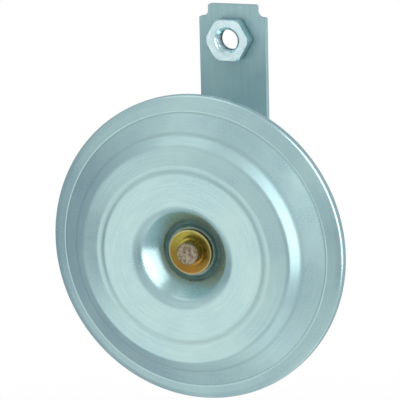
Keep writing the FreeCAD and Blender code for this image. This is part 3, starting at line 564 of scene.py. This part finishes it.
def scratches(tree, place, length_mm, lean):
    """Thin lines, 1 on a scratch and 0 elsewhere: the narrow middle of a long drawn noise."""
    turn = add(tree, "ShaderNodeVectorRotate", {"Vector": place, "Angle": lean},
               rotation_type="Y_AXIS")
    lines = mottle(tree, turn, length_mm, (1, 1, 14), 1.0)
    from_middle = add(tree, "ShaderNodeMath", {0: lines, 1: 0.5}, operation="SUBTRACT")
    width = add(tree, "ShaderNodeMath", {0: from_middle}, operation="ABSOLUTE")
    thin = add(tree, "ShaderNodeMapRange", {"Value": width, "From Max": 0.035, "To Min": 1.0,
                                            "To Max": 0.0})
    some = add(tree, "ShaderNodeMapRange", {"Value": mottle(tree, place, length_mm * 0.8),
                                            "From Min": 0.52, "From Max": 0.62})
    return add(tree, "ShaderNodeMath", {0: thin, 1: some}, operation="MULTIPLY")


print("made:", [helper.__name__ for helper in (give_surface, raise_by, scratches)])

# %% [markdown]
# Pressing and turning leave marks that run round an axis. Their patterns are therefore laid out by
# the distance from that axis and by the direction round it. The direction is kept as a vector of
# length one instead of an angle, because an angle would jump where the circle closes.

# %% Patterns round an axis
def about_axis(tree, place, axis_z=AXIS_Z):
    """Distance from the axis in millimetres, and the direction round it."""
    moved = add(tree, "ShaderNodeVectorMath", {0: place, 1: (0, 0, axis_z * MM)},
                operation="SUBTRACT")
    flat = add(tree, "ShaderNodeVectorMath", {0: moved, 1: (1, 0, 1)}, operation="MULTIPLY")
    length = add(tree, "ShaderNodeVectorMath", {0: flat}, operation="LENGTH")
    radius = add(tree, "ShaderNodeMath", {0: length, 1: 1 / MM}, operation="MULTIPLY")
    return radius, add(tree, "ShaderNodeVectorMath", {0: flat}, operation="NORMALIZE")


def round_lines(tree, radius, direction, width_mm, turns):
    """Lines that run round the axis, of a real width, changing some times in a turn."""
    around = add(tree, "ShaderNodeVectorMath", {0: direction, 1: (turns, 0, turns)},
                 operation="MULTIPLY")
    outwards = add(tree, "ShaderNodeMath", {0: radius, 1: 1 / width_mm}, operation="MULTIPLY")
    across = add(tree, "ShaderNodeCombineXYZ", {1: outwards})
    lie = add(tree, "ShaderNodeVectorMath", {0: around, 1: across})
    return add(tree, "ShaderNodeTexNoise", {"Vector": lie, "Scale": 1.0, "Detail": 3.0})


def near_ring(tree, radius, ring_mm, reach_mm):
    """1 on a ring about the axis, fading to 0 at a distance from it."""
    off = add(tree, "ShaderNodeMath", {0: radius, 1: ring_mm}, operation="SUBTRACT")
    away = add(tree, "ShaderNodeMath", {0: off}, operation="ABSOLUTE")
    return add(tree, "ShaderNodeMapRange", {"Value": away, "From Max": reach_mm, "To Min": 1.0,
                                            "To Max": 0.0}, interpolation_type="SMOOTHSTEP")


print("lines of 0.6 mm across the disc:", round(DISC_RADIUS / 0.6))

# %% [markdown]
# ## Zinc on pressed steel
# The disc and the housing are pressed from sheet and then plated with blue-white zinc. The press
# leaves faint lines round the axis, the bath leaves clouds, and the sheet itself has a slight
# waviness. The bend at the shoulder is stretched and so a little duller. Painted shade darkens the
# crease, the groove, the foot of the cone and the seat round the washer: each shaded ring has a
# radius, a reach to both sides and a strength. The film is slightly milky, so the metallic share is
# below 1, and well below it on the strip, whose rolling scale dulls the zinc over it.

# %% Zinc plated sheet
PLATING_GRAIN = 0.35
SHEET_WAVE = 7.0
SHADED_RINGS = ((8.1, 0.6, 0.3), (CREASE_RADIUS, 1.5, 0.25), (37.9, 0.9, 0.2), (43.72, 0.5, 0.3))
DULL_SHOULDER = 36.0


def zinc_steel():
    material, tree, shader, place = new_finish("zinc_on_pressed_steel", "#C4E5E7", 0.9, 0.30)
    radius, direction = about_axis(tree, place)
    clouds = mottle(tree, place, 13.0)
    lines = round_lines(tree, radius, direction, 0.6, 3.0)
    grain = mottle(tree, place, PLATING_GRAIN, detail=2.0)
    tone = tinted(tree, "#BDDEE3", "#CCEBEA", clouds)
    tone = tinted(tree, tone, "#A9C2C8", lines, (0, 0.18))
    # Painted shade: each ring darkens the zinc towards #7E9496 in a crease or corner of the disc.
    for ring_mm, reach_mm, strength in SHADED_RINGS:
        uneven = add(tree, "ShaderNodeMapRange",
                     {"Value": clouds, "From Min": MIDDLE[0], "From Max": MIDDLE[1],
                      "To Min": strength - 0.1, "To Max": strength + 0.1})
        ring_shade = add(tree, "ShaderNodeMath", {0: near_ring(tree, radius, ring_mm, reach_mm),
                                            1: uneven}, operation="MULTIPLY")
        tone = tinted(tree, tone, "#7E9496", ring_shade, span=WHOLE)
    give_surface(tree, shader, tone, (clouds, MIDDLE, (0.26, 0.32)), (grain, MIDDLE, (-0.02, 0.02)),
                 (lines, MIDDLE, (-0.02, 0.03)),
                 (near_ring(tree, radius, DULL_SHOULDER, 2.5), WHOLE, (0, 0.10)),
                 (scratches(tree, place, 26.0, 0.7), WHOLE, (0, 0.04)))
    raise_by(tree, shader, mottle(tree, place, SHEET_WAVE, detail=1.0), 0.02)
    raise_by(tree, shader, lines, 0.0015)
    raise_by(tree, shader, grain, 0.0008)
    return material


def rolled_strip():
    """Zinc on hot rolled strip: darker, with lines along the strip."""
    material, tree, shader, place = new_finish("zinc_on_rolled_strip", "#A9CCCF", 0.5, 0.42)
    clouds = mottle(tree, place, 9.0)
    lines = mottle(tree, place, 0.5, (1, 1, 0.02), 3.0)
    tone = tinted(tree, "#A4C8CD", "#B2D3D6", clouds)
    tone = tinted(tree, tone, "#8AA9B0", lines, (0, 0.25))
    tone = tinted(tree, tone, "#C4D8DA", scratches(tree, place, 15.0, 0.25), (0, 0.25), WHOLE)
    give_surface(tree, shader, tone, (clouds, MIDDLE, (0.36, 0.46)), (lines, MIDDLE, (-0.04, 0.05)))
    raise_by(tree, shader, lines, 0.008)
    raise_by(tree, shader, mottle(tree, place, PLATING_GRAIN, detail=2.0), 0.004)
    return material


print("grain drawn", PLATING_GRAIN, "mm wide, on", len(SHADED_RINGS), "rings of painted shade")

# %% [markdown]
# ## Turned and formed metals
# The small metal parts share one recipe: two tones in clouds, a finer set of lines that either run
# round the horn's axis or lie along one direction, and a grain. Each finish is then one call with
# its own colours and sizes, which keeps them easy to compare.

# %% Small metal parts
def worked_metal(name, tones, roughness, patch_mm, line_mm, lay=None, depth_mm=0.004,
                 axis_z=AXIS_Z):
    """Metal in two tones with lines, round the axis or along the directions where lay is small."""
    material, tree, shader, place = new_finish(name, tones[0], 1.0, roughness)
    clouds = mottle(tree, place, patch_mm)
    if lay is None:
        lines = round_lines(tree, *about_axis(tree, place, axis_z), line_mm, 2.0)
    else:
        lines = mottle(tree, place, line_mm, lay, 3.0)
    tone = tinted(tree, tones[0], tones[1], clouds)
    give_surface(tree, shader, tinted(tree, tone, tones[2], lines, (0, 0.4)),
                 (clouds, MIDDLE, (roughness - 0.04, roughness + 0.05)),
                 (lines, MIDDLE, (-0.03, 0.04)))
    raise_by(tree, shader, lines, depth_mm)
    raise_by(tree, shader, mottle(tree, place, PLATING_GRAIN, detail=2.0), depth_mm * 0.6)
    return material


print("lines and a grain of", PLATING_GRAIN, "mm on each small metal part")

# %% [markdown]
# The nuts and the screw are bright zinc, glossier than the plating of the disc. Painted shade
# darkens the front nut where it meets the strip. The grey washer is a duller zinc, and the blades
# are tinned brass. The pieces inside are soft iron, spring steel, brass and the tungsten of the
# contacts, each in the tones of its own metal.

# %% Metals of the small parts
SHADE_REACH = 3.2


def bright_zinc():
    """Bright zinc, with painted shade in the corner where the front nut meets the strip at y = 0.
    """
    material = worked_metal("bright_zinc_on_turned_steel", ("#E2F8FD", "#D4F0F6", "#BAD8E0"), 0.22,
                            3.0, 0.3, axis_z=0.0)
    tree = material.node_tree
    colour = tree.nodes["Principled BSDF"].inputs["Base Color"]
    place = add(tree, "ShaderNodeTexCoord").outputs["Object"]
    forwards = add(tree, "ShaderNodeSeparateXYZ", {0: place}).outputs["Y"]
    away = add(tree, "ShaderNodeMath", {0: forwards}, operation="ABSOLUTE")
    # Painted shade: the colour darkens towards #3E5059 near y = 0, where the nut meets the strip.
    corner_shade = tinted(tree, colour.links[0].from_socket, "#3E5059", away, (0.75, 0),
                   (0, SHADE_REACH * MM))
    tree.links.new(corner_shade.outputs[2], colour)
    return material


def grey_zinc():
    return worked_metal("dull_zinc_on_washer", ("#A3AFA2", "#8E9B90", "#727F70"), 0.36, 2.5, 0.3)


def soft_iron():
    return worked_metal("turned_soft_iron", ("#9A9C9D", "#838587", "#6B6D70"), 0.40, 4.0, 0.25)


def spring_steel():
    return worked_metal("rolled_spring_steel", ("#B9BCC0", "#A7ABB0", "#8F949A"), 0.27, 9.0, 0.4,
                        (1, 1, 0.03))


def contact_metal():
    return worked_metal("lapped_tungsten", ("#B6B7B8", "#A4A6A8", "#8A8C90"), 0.30, 1.0, 0.15)


def brass_part():
    return worked_metal("turned_brass", ("#D9BC74", "#C7A75C", "#A98B48"), 0.27, 3.0, 0.25)


def tinned_blade():
    return worked_metal("tinned_brass_strip", ("#DEDBCF", "#CFCCC0", "#B3AE9C"), 0.28, 3.0, 0.5,
                        (1, 0.03, 1), 0.002)


print("painted shade reaches", SHADE_REACH, "mm up the nut")

# %% [markdown]
# ## Yellow chromate and the peened stud
# Yellow chromate is a film so thin that its colour drifts from gold to olive and rose as its
# thickness changes. A thin film shader would need the thickness at every point, so the drift is
# drawn as slow noise between those colours, more golden towards the bottom and more olive towards
# the top. The stud is bare where it was hammered, and copper coloured where the film survived.

# %% Washer and stud in the dimple
def yellow_chromate():
    material, tree, shader, place = new_finish("yellow_chromate_film", "#C4A24A", 1.0, 0.24)
    film = mottle(tree, place, 5.0, detail=2.0)
    patches = mottle(tree, place, 1.6)
    radius, direction = about_axis(tree, place)
    height = add(tree, "ShaderNodeSeparateXYZ", {0: direction}).outputs["Z"]
    drift = add(tree, "ShaderNodeMath", {0: film, 1: 1.2}, operation="MULTIPLY")
    # Colour by height round the axis: darker gold towards the bottom, lighter olive towards the
    # top.
    drift_by_height = add(tree, "ShaderNodeMath", {0: height, 1: drift})
    tone = tinted(tree, "#B3823A", "#AEA44C", drift_by_height, span=(-0.2, 1.3))
    tone = tinted(tree, tone, "#8F8742", patches, (0, 0.5), (0.5, 0.7))
    # Painted highlight: a pale ring along the rounded rim of the cupped washer, at 7 mm.
    tone = tinted(tree, tone, "#E2D6A6", near_ring(tree, radius, 7.0, 0.6), (0, 0.6), WHOLE)
    give_surface(tree, shader, tone, (patches, MIDDLE, (0.18, 0.33)))
    raise_by(tree, shader, round_lines(tree, radius, direction, 0.3, 2.0), 0.006)
    raise_by(tree, shader, mottle(tree, place, PLATING_GRAIN, detail=2.0), 0.004)
    return material


def peened_steel():
    material, tree, shader, place = new_finish("peened_stud_end", "#B3A593", 1.0, 0.34)
    dents = mottle(tree, place, 0.9, detail=3.0)
    tone = tinted(tree, "#BDB6A2", "#AD9878", mottle(tree, place, 2.4))
    give_surface(tree, shader, tinted(tree, "#7E7462", tone, dents, (0, 0.8), (0.35, 0.6)),
                 (dents, MIDDLE, (0.42, 0.28)))
    raise_by(tree, shader, dents, 0.05)
    return material


print("gold of the film, linear:", [round(share, 2) for share in linear("#B3823A")[:3]])

# %% [markdown]
# ## Insulation and lacquer
# Parts that are not metal differ in how deep and how sharp their surface is: pressed paper is dull
# and fibrous, moulded nylon carries a fine mottle from its glass fibres, phenolic fibre shows its
# layers at cut edges, and the lacquer that locks the screw is a thick glossy drop.

# %% Insulation and lacquer
def dull_part(name, tones, roughness, patch_mm, grain_mm, depth_mm, stretch=(1, 1, 1)):
    """Non-metal in two tones with a grain of a real size and depth."""
    material, tree, shader, place = new_finish(name, tones[0], 0.0, roughness)
    grain = mottle(tree, place, grain_mm, detail=3.0)
    give_surface(tree, shader, tinted(tree, *tones, mottle(tree, place, patch_mm, stretch)),
                 (grain, MIDDLE, (roughness - 0.06, roughness + 0.06)))
    raise_by(tree, shader, grain, depth_mm)
    return material


def gasket_paper():
    return dull_part("oiled_gasket_paper", ("#8A7252", "#6E5A40"), 0.80, 2.0, 0.25, 0.02)


def moulded_nylon():
    return dull_part("glass_filled_nylon", ("#26262A", "#1B1B1E"), 0.48, 1.5, 0.3, 0.008)


def phenolic_fibre():
    return dull_part("phenolic_fibre", ("#7C4A2E", "#633722"), 0.50, 0.8, 0.2, 0.010, (1, 4, 1))


def insulated_lead():
    return dull_part("soft_insulation", ("#2C2C30", "#202024"), 0.46, 4.0, 0.35, 0.010)


def locking_lacquer():
    material = dull_part("red_locking_lacquer", ("#8E1C17", "#7A1411"), 0.20, 1.5, 1.4, 0.05)
    material.node_tree.nodes["Principled BSDF"].inputs["Coat Weight"].default_value = 0.6
    return material


print("layers of the phenolic fibre drawn", 0.8 / 4, "mm thick")

# %% [markdown]
# The coil is enamelled copper, wound in turns so even that a sine wave along its axis can draw
# them, one crest to each turn.

# %% Coil wire
WIRE_PITCH = 0.45


def enamelled_wire():
    material, tree, shader, place = new_finish("enamelled_copper", "#A8552E", 1.0, 0.30)
    forwards = add(tree, "ShaderNodeSeparateXYZ", {0: place}).outputs["Y"]
    phase = add(tree, "ShaderNodeMath", {0: forwards, 1: 2 * math.pi / (WIRE_PITCH * MM)},
                operation="MULTIPLY")
    turns = add(tree, "ShaderNodeMath", {0: phase}, operation="SINE")
    give_surface(tree, shader, tinted(tree, "#B25C33", "#964626", mottle(tree, place, 3.0)),
                 (mottle(tree, place, 0.8), MIDDLE, (0.25, 0.38)))
    raise_by(tree, shader, turns, WIRE_PITCH * 0.2)
    return material


print("coil drawn with turns", WIRE_PITCH, "mm apart")

# %% [markdown]
# ## The washers
# The two washers in the dimple are short outlines turned about the axis, each edge with the
# rounding that stamping and tumbling leave. The cupped one is bent sheet again.

# %% Washers in the dimple
SEAT_FRONT = RIM_BACK + SEAT_HEIGHT
WASHER_FRONT = SEAT_FRONT + 1.0
CUP_FRONT = WASHER_FRONT + 1.3
CUP_SHEET = 0.55
CUP_EDGE = 0.22
WASHER_SEGMENTS = 128


def washer_outline(inner, outer, low, high, edge):
    """Closed outline of a flat ring whose four edges are rounded."""
    middle = (inner + outer) / 2
    return rounded([(middle, low, 0), (outer, low, edge), (outer, high, edge), (inner, high, edge),
                    (inner, low, edge), (middle, low, 0)])[:-1]


shape = bmesh.new()
turned(shape, washer_outline(STUD_HOLE, 7.8, SEAT_FRONT, WASHER_FRONT, 0.25), WASHER_SEGMENTS)
grey_ring = finish_piece("seat_washer", shape, "sounder", ["backing_washer"])

cup_back = [(STUD_HOLE, WASHER_FRONT, 0), (4.45, WASHER_FRONT, 1.5),
                (7.2, CUP_FRONT - CUP_SHEET, CUP_EDGE)]
cup_face = beside(cup_back, CUP_SHEET)
cup_face[-1] = (*cup_face[-1][:2], CUP_EDGE)
shape = bmesh.new()
turned(shape, rounded(cup_back + cup_face[::-1]), WASHER_SEGMENTS)
cup = finish_piece("cupped_washer", shape, "sounder", ["dished_washer"], sharp=50)
print("the washers stand", round(CUP_FRONT - SEAT_FRONT, 2), "mm above the seat")

# %% [markdown]
# ## The stud and its peened end
# The end of the stud is hammered over the washer to lock it, so it isn't flat. Shallow dents are
# sunk into a fine grid over the end. Their places follow a sunflower spiral, which spreads them
# evenly without looking like a pattern, and needs no random numbers.

# %% Peened stud
STUD_RADIUS = 3.6
STUD_BACK = 20.0
STUD_END = CUP_FRONT + 2.4
STUD_SEGMENTS = 120
END_ROUND = 0.5
END_RINGS = 24
DENTS = 17
DENTS_WITHIN = 3.0
DENT_RADIUS = 0.75
DENT_DEPTH = 0.16
GOLDEN_ANGLE = math.radians(137.5)


def dented(across, up):
    """Depth of the hammer marks at a point of the stud's end."""
    depth = 0.0
    for k in range(DENTS):
        out = DENTS_WITHIN * math.sqrt((k + 0.5) / DENTS)
        dx = across - out * math.cos(k * GOLDEN_ANGLE)
        dz = up - out * math.sin(k * GOLDEN_ANGLE)
        inside = max(0.0, 1 - (dx * dx + dz * dz) / DENT_RADIUS ** 2)
        depth = max(depth, DENT_DEPTH * inside * inside * (0.6 + 0.4 * math.sin(3.0 * k)))
    return depth


side = rounded([(0, STUD_BACK, 0), (STUD_RADIUS, STUD_BACK, 0.3),
                (STUD_RADIUS, STUD_END, END_ROUND), (STUD_RADIUS - END_ROUND, STUD_END, 0)])
rings = [[(p.x, p.y)] * STUD_SEGMENTS for p in side]
for step in range(1, END_RINGS + 1):
    radius = (STUD_RADIUS - END_ROUND) * (1 - step / END_RINGS)
    ring = []
    for k in range(STUD_SEGMENTS):
        angle = 2 * math.pi * k / STUD_SEGMENTS
        sunk = dented(radius * math.cos(angle), radius * math.sin(angle))
        ring.append((radius, STUD_END - sunk))
    rings.append(ring)
shape = bmesh.new()
add_rings(shape, rings, closed=False)
stud = finish_piece("peened_stud", shape, "sounder", ["centre_stud"], sharp=60)

# %% [markdown]
# ## Nuts
# A nut is a hexagon cut by a cone at each end, with a screw thread inside. Both are functions of
# the angle and the height, so a nut can be one stack of rings whose radius varies on the way round:
# the smaller of hexagon and cone outside, and a helix inside. Cutting solids would need a clean-up
# of the thin faces where the cone meets the flats.

# %% Nut with a thread
THREAD_PITCH = 1.25
THREAD_DEPTH = 0.6
NUT_HALF_WIDTH = 6.5
NUT_SEGMENTS = 192
FACE_CORNERS = 0.4
CORNER_WEAR = 0.12
SEAT_BEVEL = 0.3
END_BEVEL = 0.15
MOUTH_BREAK = 0.12
CONE_STEPS = 10
CONE_STEP = 0.06
BORE_START = 0.03


def hexagon_at(angle, flat):
    """Distance to the side of a hexagon with level flats, its corners slightly rounded."""
    from_middle = (angle + math.pi / 6) % (math.pi / 3) - math.pi / 6
    sharp = flat / math.cos(math.pi / 6 - abs(from_middle))
    corner = flat / math.cos(math.pi / 6) - CORNER_WEAR
    return (sharp ** -90 + corner ** -90) ** (-1 / 90)


def thread_at(angle, height):
    """Share of the thread's depth at a place on a right-hand helix, 0 to 1."""
    turn = (height / THREAD_PITCH + angle / (2 * math.pi)) % 1.0
    return min(1.0, max(0.0, 1.25 * abs(2 * turn - 1) - 0.125))


def nut_rings(flat, height, hole, mouth, mouth_both=False):
    """Rings of a nut from its seat at 0 to its free end, and back down its threaded bore."""
    angles = [2 * math.pi * k / NUT_SEGMENTS for k in range(NUT_SEGMENTS)]
    seat = (mouth if mouth_both else hole, flat - SEAT_BEVEL)
    rings = [[(radius, 0.0)] * NUT_SEGMENTS for radius in seat]
    steps = [CONE_STEP * k for k in range(CONE_STEPS)]
    levels = steps + [height / 2] + [height - step for step in reversed(steps)]
    for level in levels:
        cone = flat + FACE_CORNERS + min(level, height - level) / math.tan(math.radians(30))
        rings.append([(min(hexagon_at(a, flat), cone), level) for a in angles])
    rings.append([(min(hexagon_at(a, flat), flat + FACE_CORNERS) - END_BEVEL, height)
                  for a in angles])
    rings.append([(mouth + MOUTH_BREAK, height)] * NUT_SEGMENTS)
    level = height
    while level > 0:
        cone = mouth - (height - level)
        if mouth_both:
            cone = max(cone, mouth - level)
        rings.append([(max(hole + THREAD_DEPTH * thread_at(a, level), cone), level - BORE_START)
                      for a in angles])
        level -= THREAD_PITCH / 12
    return rings


def placed(rings, seat, towards):
    """The same rings with heights counted from a seat, towards the front (1) or back (-1)."""
    return [[(radius, seat + towards * height) for radius, height in ring] for ring in rings]


print("thread pitch", THREAD_PITCH, "mm")

# %% [markdown]
# One nut sits on the front of the strip and takes the screw that holds the horn. The other holds
# the strip and a spring washer on the stud at the back. Its bore starts outside the stud's own
# thread, so that the two never cut into each other.

# %% The two nuts
strip_nut_rings = nut_rings(NUT_HALF_WIDTH, height=5.0, hole=3.4, mouth=4.2)
shape = bmesh.new()
add_rings(shape, placed(strip_nut_rings, 0.0, 1), closed=True, axis_z=0.0)
strip_nut = finish_piece("welded_nut", shape, "housing", ["bracket_nut"], sharp=28)

SPRING_WASHER = 2.0
STUD_NUT_SEAT = -(STRIP_SHEET + SPRING_WASHER)
STUD_NUT_HEIGHT = 6.5
back_nut_rings = nut_rings(NUT_HALF_WIDTH, STUD_NUT_HEIGHT, hole=4.0, mouth=4.65,
                           mouth_both=True)
shape = bmesh.new()
add_rings(shape, placed(back_nut_rings, STUD_NUT_SEAT, -1), closed=True)
back_nut = finish_piece("fastening_nut", shape, "housing", ["stud_nut"], sharp=28)
print("across flats", 2 * NUT_HALF_WIDTH, "mm")

# %% [markdown]
# ## Core and its threaded stud
# The core of the magnet is one turned piece. Inside the housing it is a plain cylinder, and its
# stud comes out through the back and the strip. Only the part behind the strip is threaded finely
# enough to see, so the thread starts there.

# %% Core with thread
POT_SHEET = 1.2
CORE_RADIUS = 8.04
CORE_FRONT = 17.0
SCREW_RADIUS = 4.0
SCREW_TIP = STUD_NUT_SEAT - STUD_NUT_HEIGHT - 1.5
TIP_RADIUS = 3.4
SCREW_SEGMENTS = 96
core_side = rounded([(0, CORE_FRONT, 0), (CORE_RADIUS, CORE_FRONT, 0.5),
                     (CORE_RADIUS, POT_SHEET, 0), (SCREW_RADIUS, POT_SHEET, 0),
                     (SCREW_RADIUS, -STRIP_SHEET, 0)])
rings = [[(p.x, p.y)] * SCREW_SEGMENTS for p in core_side]
level = -STRIP_SHEET - 0.1
while level > SCREW_TIP + 0.02:
    ring = []
    for k in range(SCREW_SEGMENTS):
        cut = THREAD_DEPTH * thread_at(2 * math.pi * k / SCREW_SEGMENTS, level)
        ring.append((min(SCREW_RADIUS - cut, TIP_RADIUS + level - SCREW_TIP), level))
    rings.append(ring)
    level -= THREAD_PITCH / 12
rings.append([(TIP_RADIUS - 0.1, SCREW_TIP)] * SCREW_SEGMENTS)
rings.append([(0.0, SCREW_TIP)] * SCREW_SEGMENTS)
shape = bmesh.new()
add_rings(shape, rings, closed=False)
core = finish_piece("core_with_thread", shape, "housing", ["magnet_core"], sharp=28)

# %% [markdown]
# ## The diaphragm
# The diaphragm is a thin spring steel disc with one corrugation. The housing clamps its edge, and
# its middle goes along with the stud, so it dishes. So it is cut like a cake into eight sectors,
# which meet on the cuts that they share.

# %% Diaphragm in sectors
DIAPHRAGM_BACK = 26.7
DIAPHRAGM_SHEET = 0.4
DIAPHRAGM_EDGE = 43.1
CORRUGATION = 0.8
SECTORS = 8
SECTOR_STEPS = 9

raised = DIAPHRAGM_BACK + CORRUGATION
diaphragm_chain = [(STUD_HOLE, DIAPHRAGM_BACK, 0), (24.0, DIAPHRAGM_BACK, 2.5), (25.6, raised, 2.5),
                   (28.4, raised, 2.5), (30.0, DIAPHRAGM_BACK, 2.5),
                   (DIAPHRAGM_EDGE, DIAPHRAGM_BACK, 0)]
diaphragm_outline = with_stops(sheet(diaphragm_chain, DIAPHRAGM_SHEET), longest=1.3)


def sector(points, first, last, steps):
    """Closed slice of a turned outline between two angles."""
    shape = bmesh.new()
    rows = []
    for k in range(steps + 1):
        angle = first + (last - first) * k / steps
        rows.append([shape.verts.new(at(p.x * math.cos(angle), p.y, AXIS_Z + p.x * math.sin(angle)))
                     for p in points])
    for low, high in zip(rows, rows[1:]):
        for k in range(len(points)):
            nxt = (k + 1) % len(points)
            shape.faces.new((low[k], low[nxt], high[nxt], high[k]))
    shape.faces.new(rows[0])
    shape.faces.new(rows[-1])
    return shape


diaphragm = []
half = math.pi / SECTORS
for k in range(SECTORS):
    middle = 2 * math.pi * k / SECTORS
    shape = sector(diaphragm_outline, middle - half, middle + half, SECTOR_STEPS)
    piece = finish_piece("diaphragm_sector_" + str(k + 1), shape, None, ["diaphragm"])
    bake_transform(piece)
    diaphragm.append(piece)

# %% [markdown]
# ## The contact leaf
# The leaf is a strip of spring steel, wide where the stack of the contact breaker clamps it and
# narrow at the contact that it carries. It bends between the two, in one straight direction. Its
# outline with the holes is filled flat, and cut across wherever it should be able to bend, before
# it is given its thickness. Each hole has its place across, its height from the axis and its
# radius: two for the rivets' sleeves, one for the contact and one for its pusher pad.

# %% Contact leaf
LEAF_BACK = 19.8
LEAF_SHEET = 0.3
LEAF_END_X = 31.2
CLAMP_X = 25.0
NECK_X = 22.5
LEAF_HALF_ROOT = 5.0
LEAF_HALF_TIP = 2.5
LEAF_TIP_X = 8.965
LEAF_CUTS = 9
LEAF_CUT_STEP = 0.45
LEAF_HOLES = [(27.5, 2.8, 1.6), (27.5, -2.8, 1.6), (19.43, 0, 1.05), (11.265, 0, 1.05)]


def arc(x, up, radius, first, last, step):
    """Points round a centre on the leaf, between two angles in degrees."""
    return [(x + radius * math.cos(math.radians(a)), up + radius * math.sin(math.radians(a)))
            for a in range(first, last, step)]


tip = arc(LEAF_TIP_X + LEAF_HALF_TIP, 0, LEAF_HALF_TIP, 90, 271, 10)
root = [(NECK_X, -LEAF_HALF_TIP), (CLAMP_X, -LEAF_HALF_ROOT), (LEAF_END_X, -LEAF_HALF_ROOT),
        (LEAF_END_X, LEAF_HALF_ROOT), (CLAMP_X, LEAF_HALF_ROOT), (NECK_X, LEAF_HALF_TIP)]
shape = bmesh.new()
for loop in [root + tip] + [arc(*hole, 0, 360, 12) for hole in LEAF_HOLES]:
    corners = [shape.verts.new(at(x, LEAF_BACK, AXIS_Z + up)) for x, up in loop]
    for k, corner in enumerate(corners):
        shape.edges.new((corner, corners[(k + 1) % len(corners)]))
bmesh.ops.triangle_fill(shape, edges=shape.edges, use_beauty=True, use_dissolve=False)
for k in range(LEAF_CUTS):
    everything = shape.verts[:] + shape.edges[:] + shape.faces[:]
    cut = at(CLAMP_X - LEAF_CUT_STEP * k, 0, 0)
    bmesh.ops.bisect_plane(shape, geom=everything, plane_co=cut, plane_no=(1, 0, 0))
front_faces = bmesh.ops.extrude_face_region(shape, geom=shape.faces[:])["geom"]
bmesh.ops.translate(shape, vec=(0, -LEAF_SHEET * MM, 0),
                    verts=[v for v in front_faces if isinstance(v, bmesh.types.BMVert)])
leaf = finish_piece("breaker_leaf", shape, None, ["contact_leaf"])
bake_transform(leaf)

# %% [markdown]
# ## Pieces kept from CAD
# The other pieces keep their CAD meshes. Such a mesh has edges as sharp as a knife, which never
# catch light, so each visible one gets a bevel modifier of the width, in millimetres, that stamping
# or moulding would leave. A weld modifier goes first, because the loader gives every face its own
# points.

# %% Soft edges for the CAD pieces
EDGE_WIDTHS = {"mounting_bracket": 0.28, "housing_pot": 0.12, "spring_washer": 0.2,
               "adjusting_screw": 0.2, "screw_bush": 0.15, "screw_sealant": 0.3,
               "terminal_plate": 0.25, "left_terminal": 0.12, "right_terminal": 0.12,
               "terminal_rivets": 0.25, "spacer_sleeve": 0.2, "stiffening_washer": 0.15}

for name, width in EDGE_WIDTHS.items():
    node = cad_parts[name]
    weld = node.modifiers.new("joined_faces", "WELD")
    weld.merge_threshold = 0.001 * MM
    bevel = node.modifiers.new("soft_edges", "BEVEL")
    bevel.width = width * MM
    bevel.segments = 3
    bevel.limit_method = "ANGLE"
    bevel.angle_limit = math.radians(40)
    bevel.harden_normals = True
print(len(EDGE_WIDTHS), "CAD pieces softened")

# %% [markdown]
# ## Dressing
# Each finish is listed with the pieces that wear it, so that the whole horn can be read in one
# table. Pieces made here and nodes from CAD are treated alike.

# %% Finishes on pieces
made = {"tone_disc": [tone_disc], "backing_washer": [grey_ring], "dished_washer": [cup],
        "centre_stud": [stud], "bracket_nut": [strip_nut], "stud_nut": [back_nut],
        "magnet_core": [core], "diaphragm": diaphragm, "contact_leaf": [leaf]}
finishes = [
    (zinc_steel(), ["tone_disc", "housing_pot", "spacer_sleeve", "stiffening_washer",
                    "breaker_base", "spring_washer"]),
    (rolled_strip(), ["mounting_bracket"]),
    (bright_zinc(), ["bracket_nut", "stud_nut", "adjusting_screw"]),
    (grey_zinc(), ["backing_washer"]),
    (yellow_chromate(), ["dished_washer"]),
    (peened_steel(), ["centre_stud"]),
    (soft_iron(), ["armature", "magnet_core"]),
    (spring_steel(), ["diaphragm", "contact_leaf", "contact_arm"]),
    (contact_metal(), ["moving_contact", "fixed_contact"]),
    (brass_part(), ["breaker_rivets", "screw_bush", "terminal_rivets"]),
    (tinned_blade(), ["left_terminal", "right_terminal"]),
    (gasket_paper(), ["back_gasket", "front_gasket"]),
    (moulded_nylon(), ["coil_bobbin"]),
    (phenolic_fibre(), ["lower_insulator", "middle_insulator", "upper_insulator", "pusher_pad",
                        "rivet_sleeves", "terminal_plate", "inner_terminal_insulator"]),
    (enamelled_wire(), ["coil_winding"]),
    (locking_lacquer(), ["screw_sealant"]),
    (insulated_lead(), ["coil_lead", "breaker_lead"])]
dressed = set()
for material, names in finishes:
    for name in names:
        for piece in [*made.get(name, []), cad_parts[name]]:
            piece.data.materials.clear()
            piece.data.materials.append(material)
        dressed.add(name)
print("nodes without a finish:", sorted(set(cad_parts) - dressed))
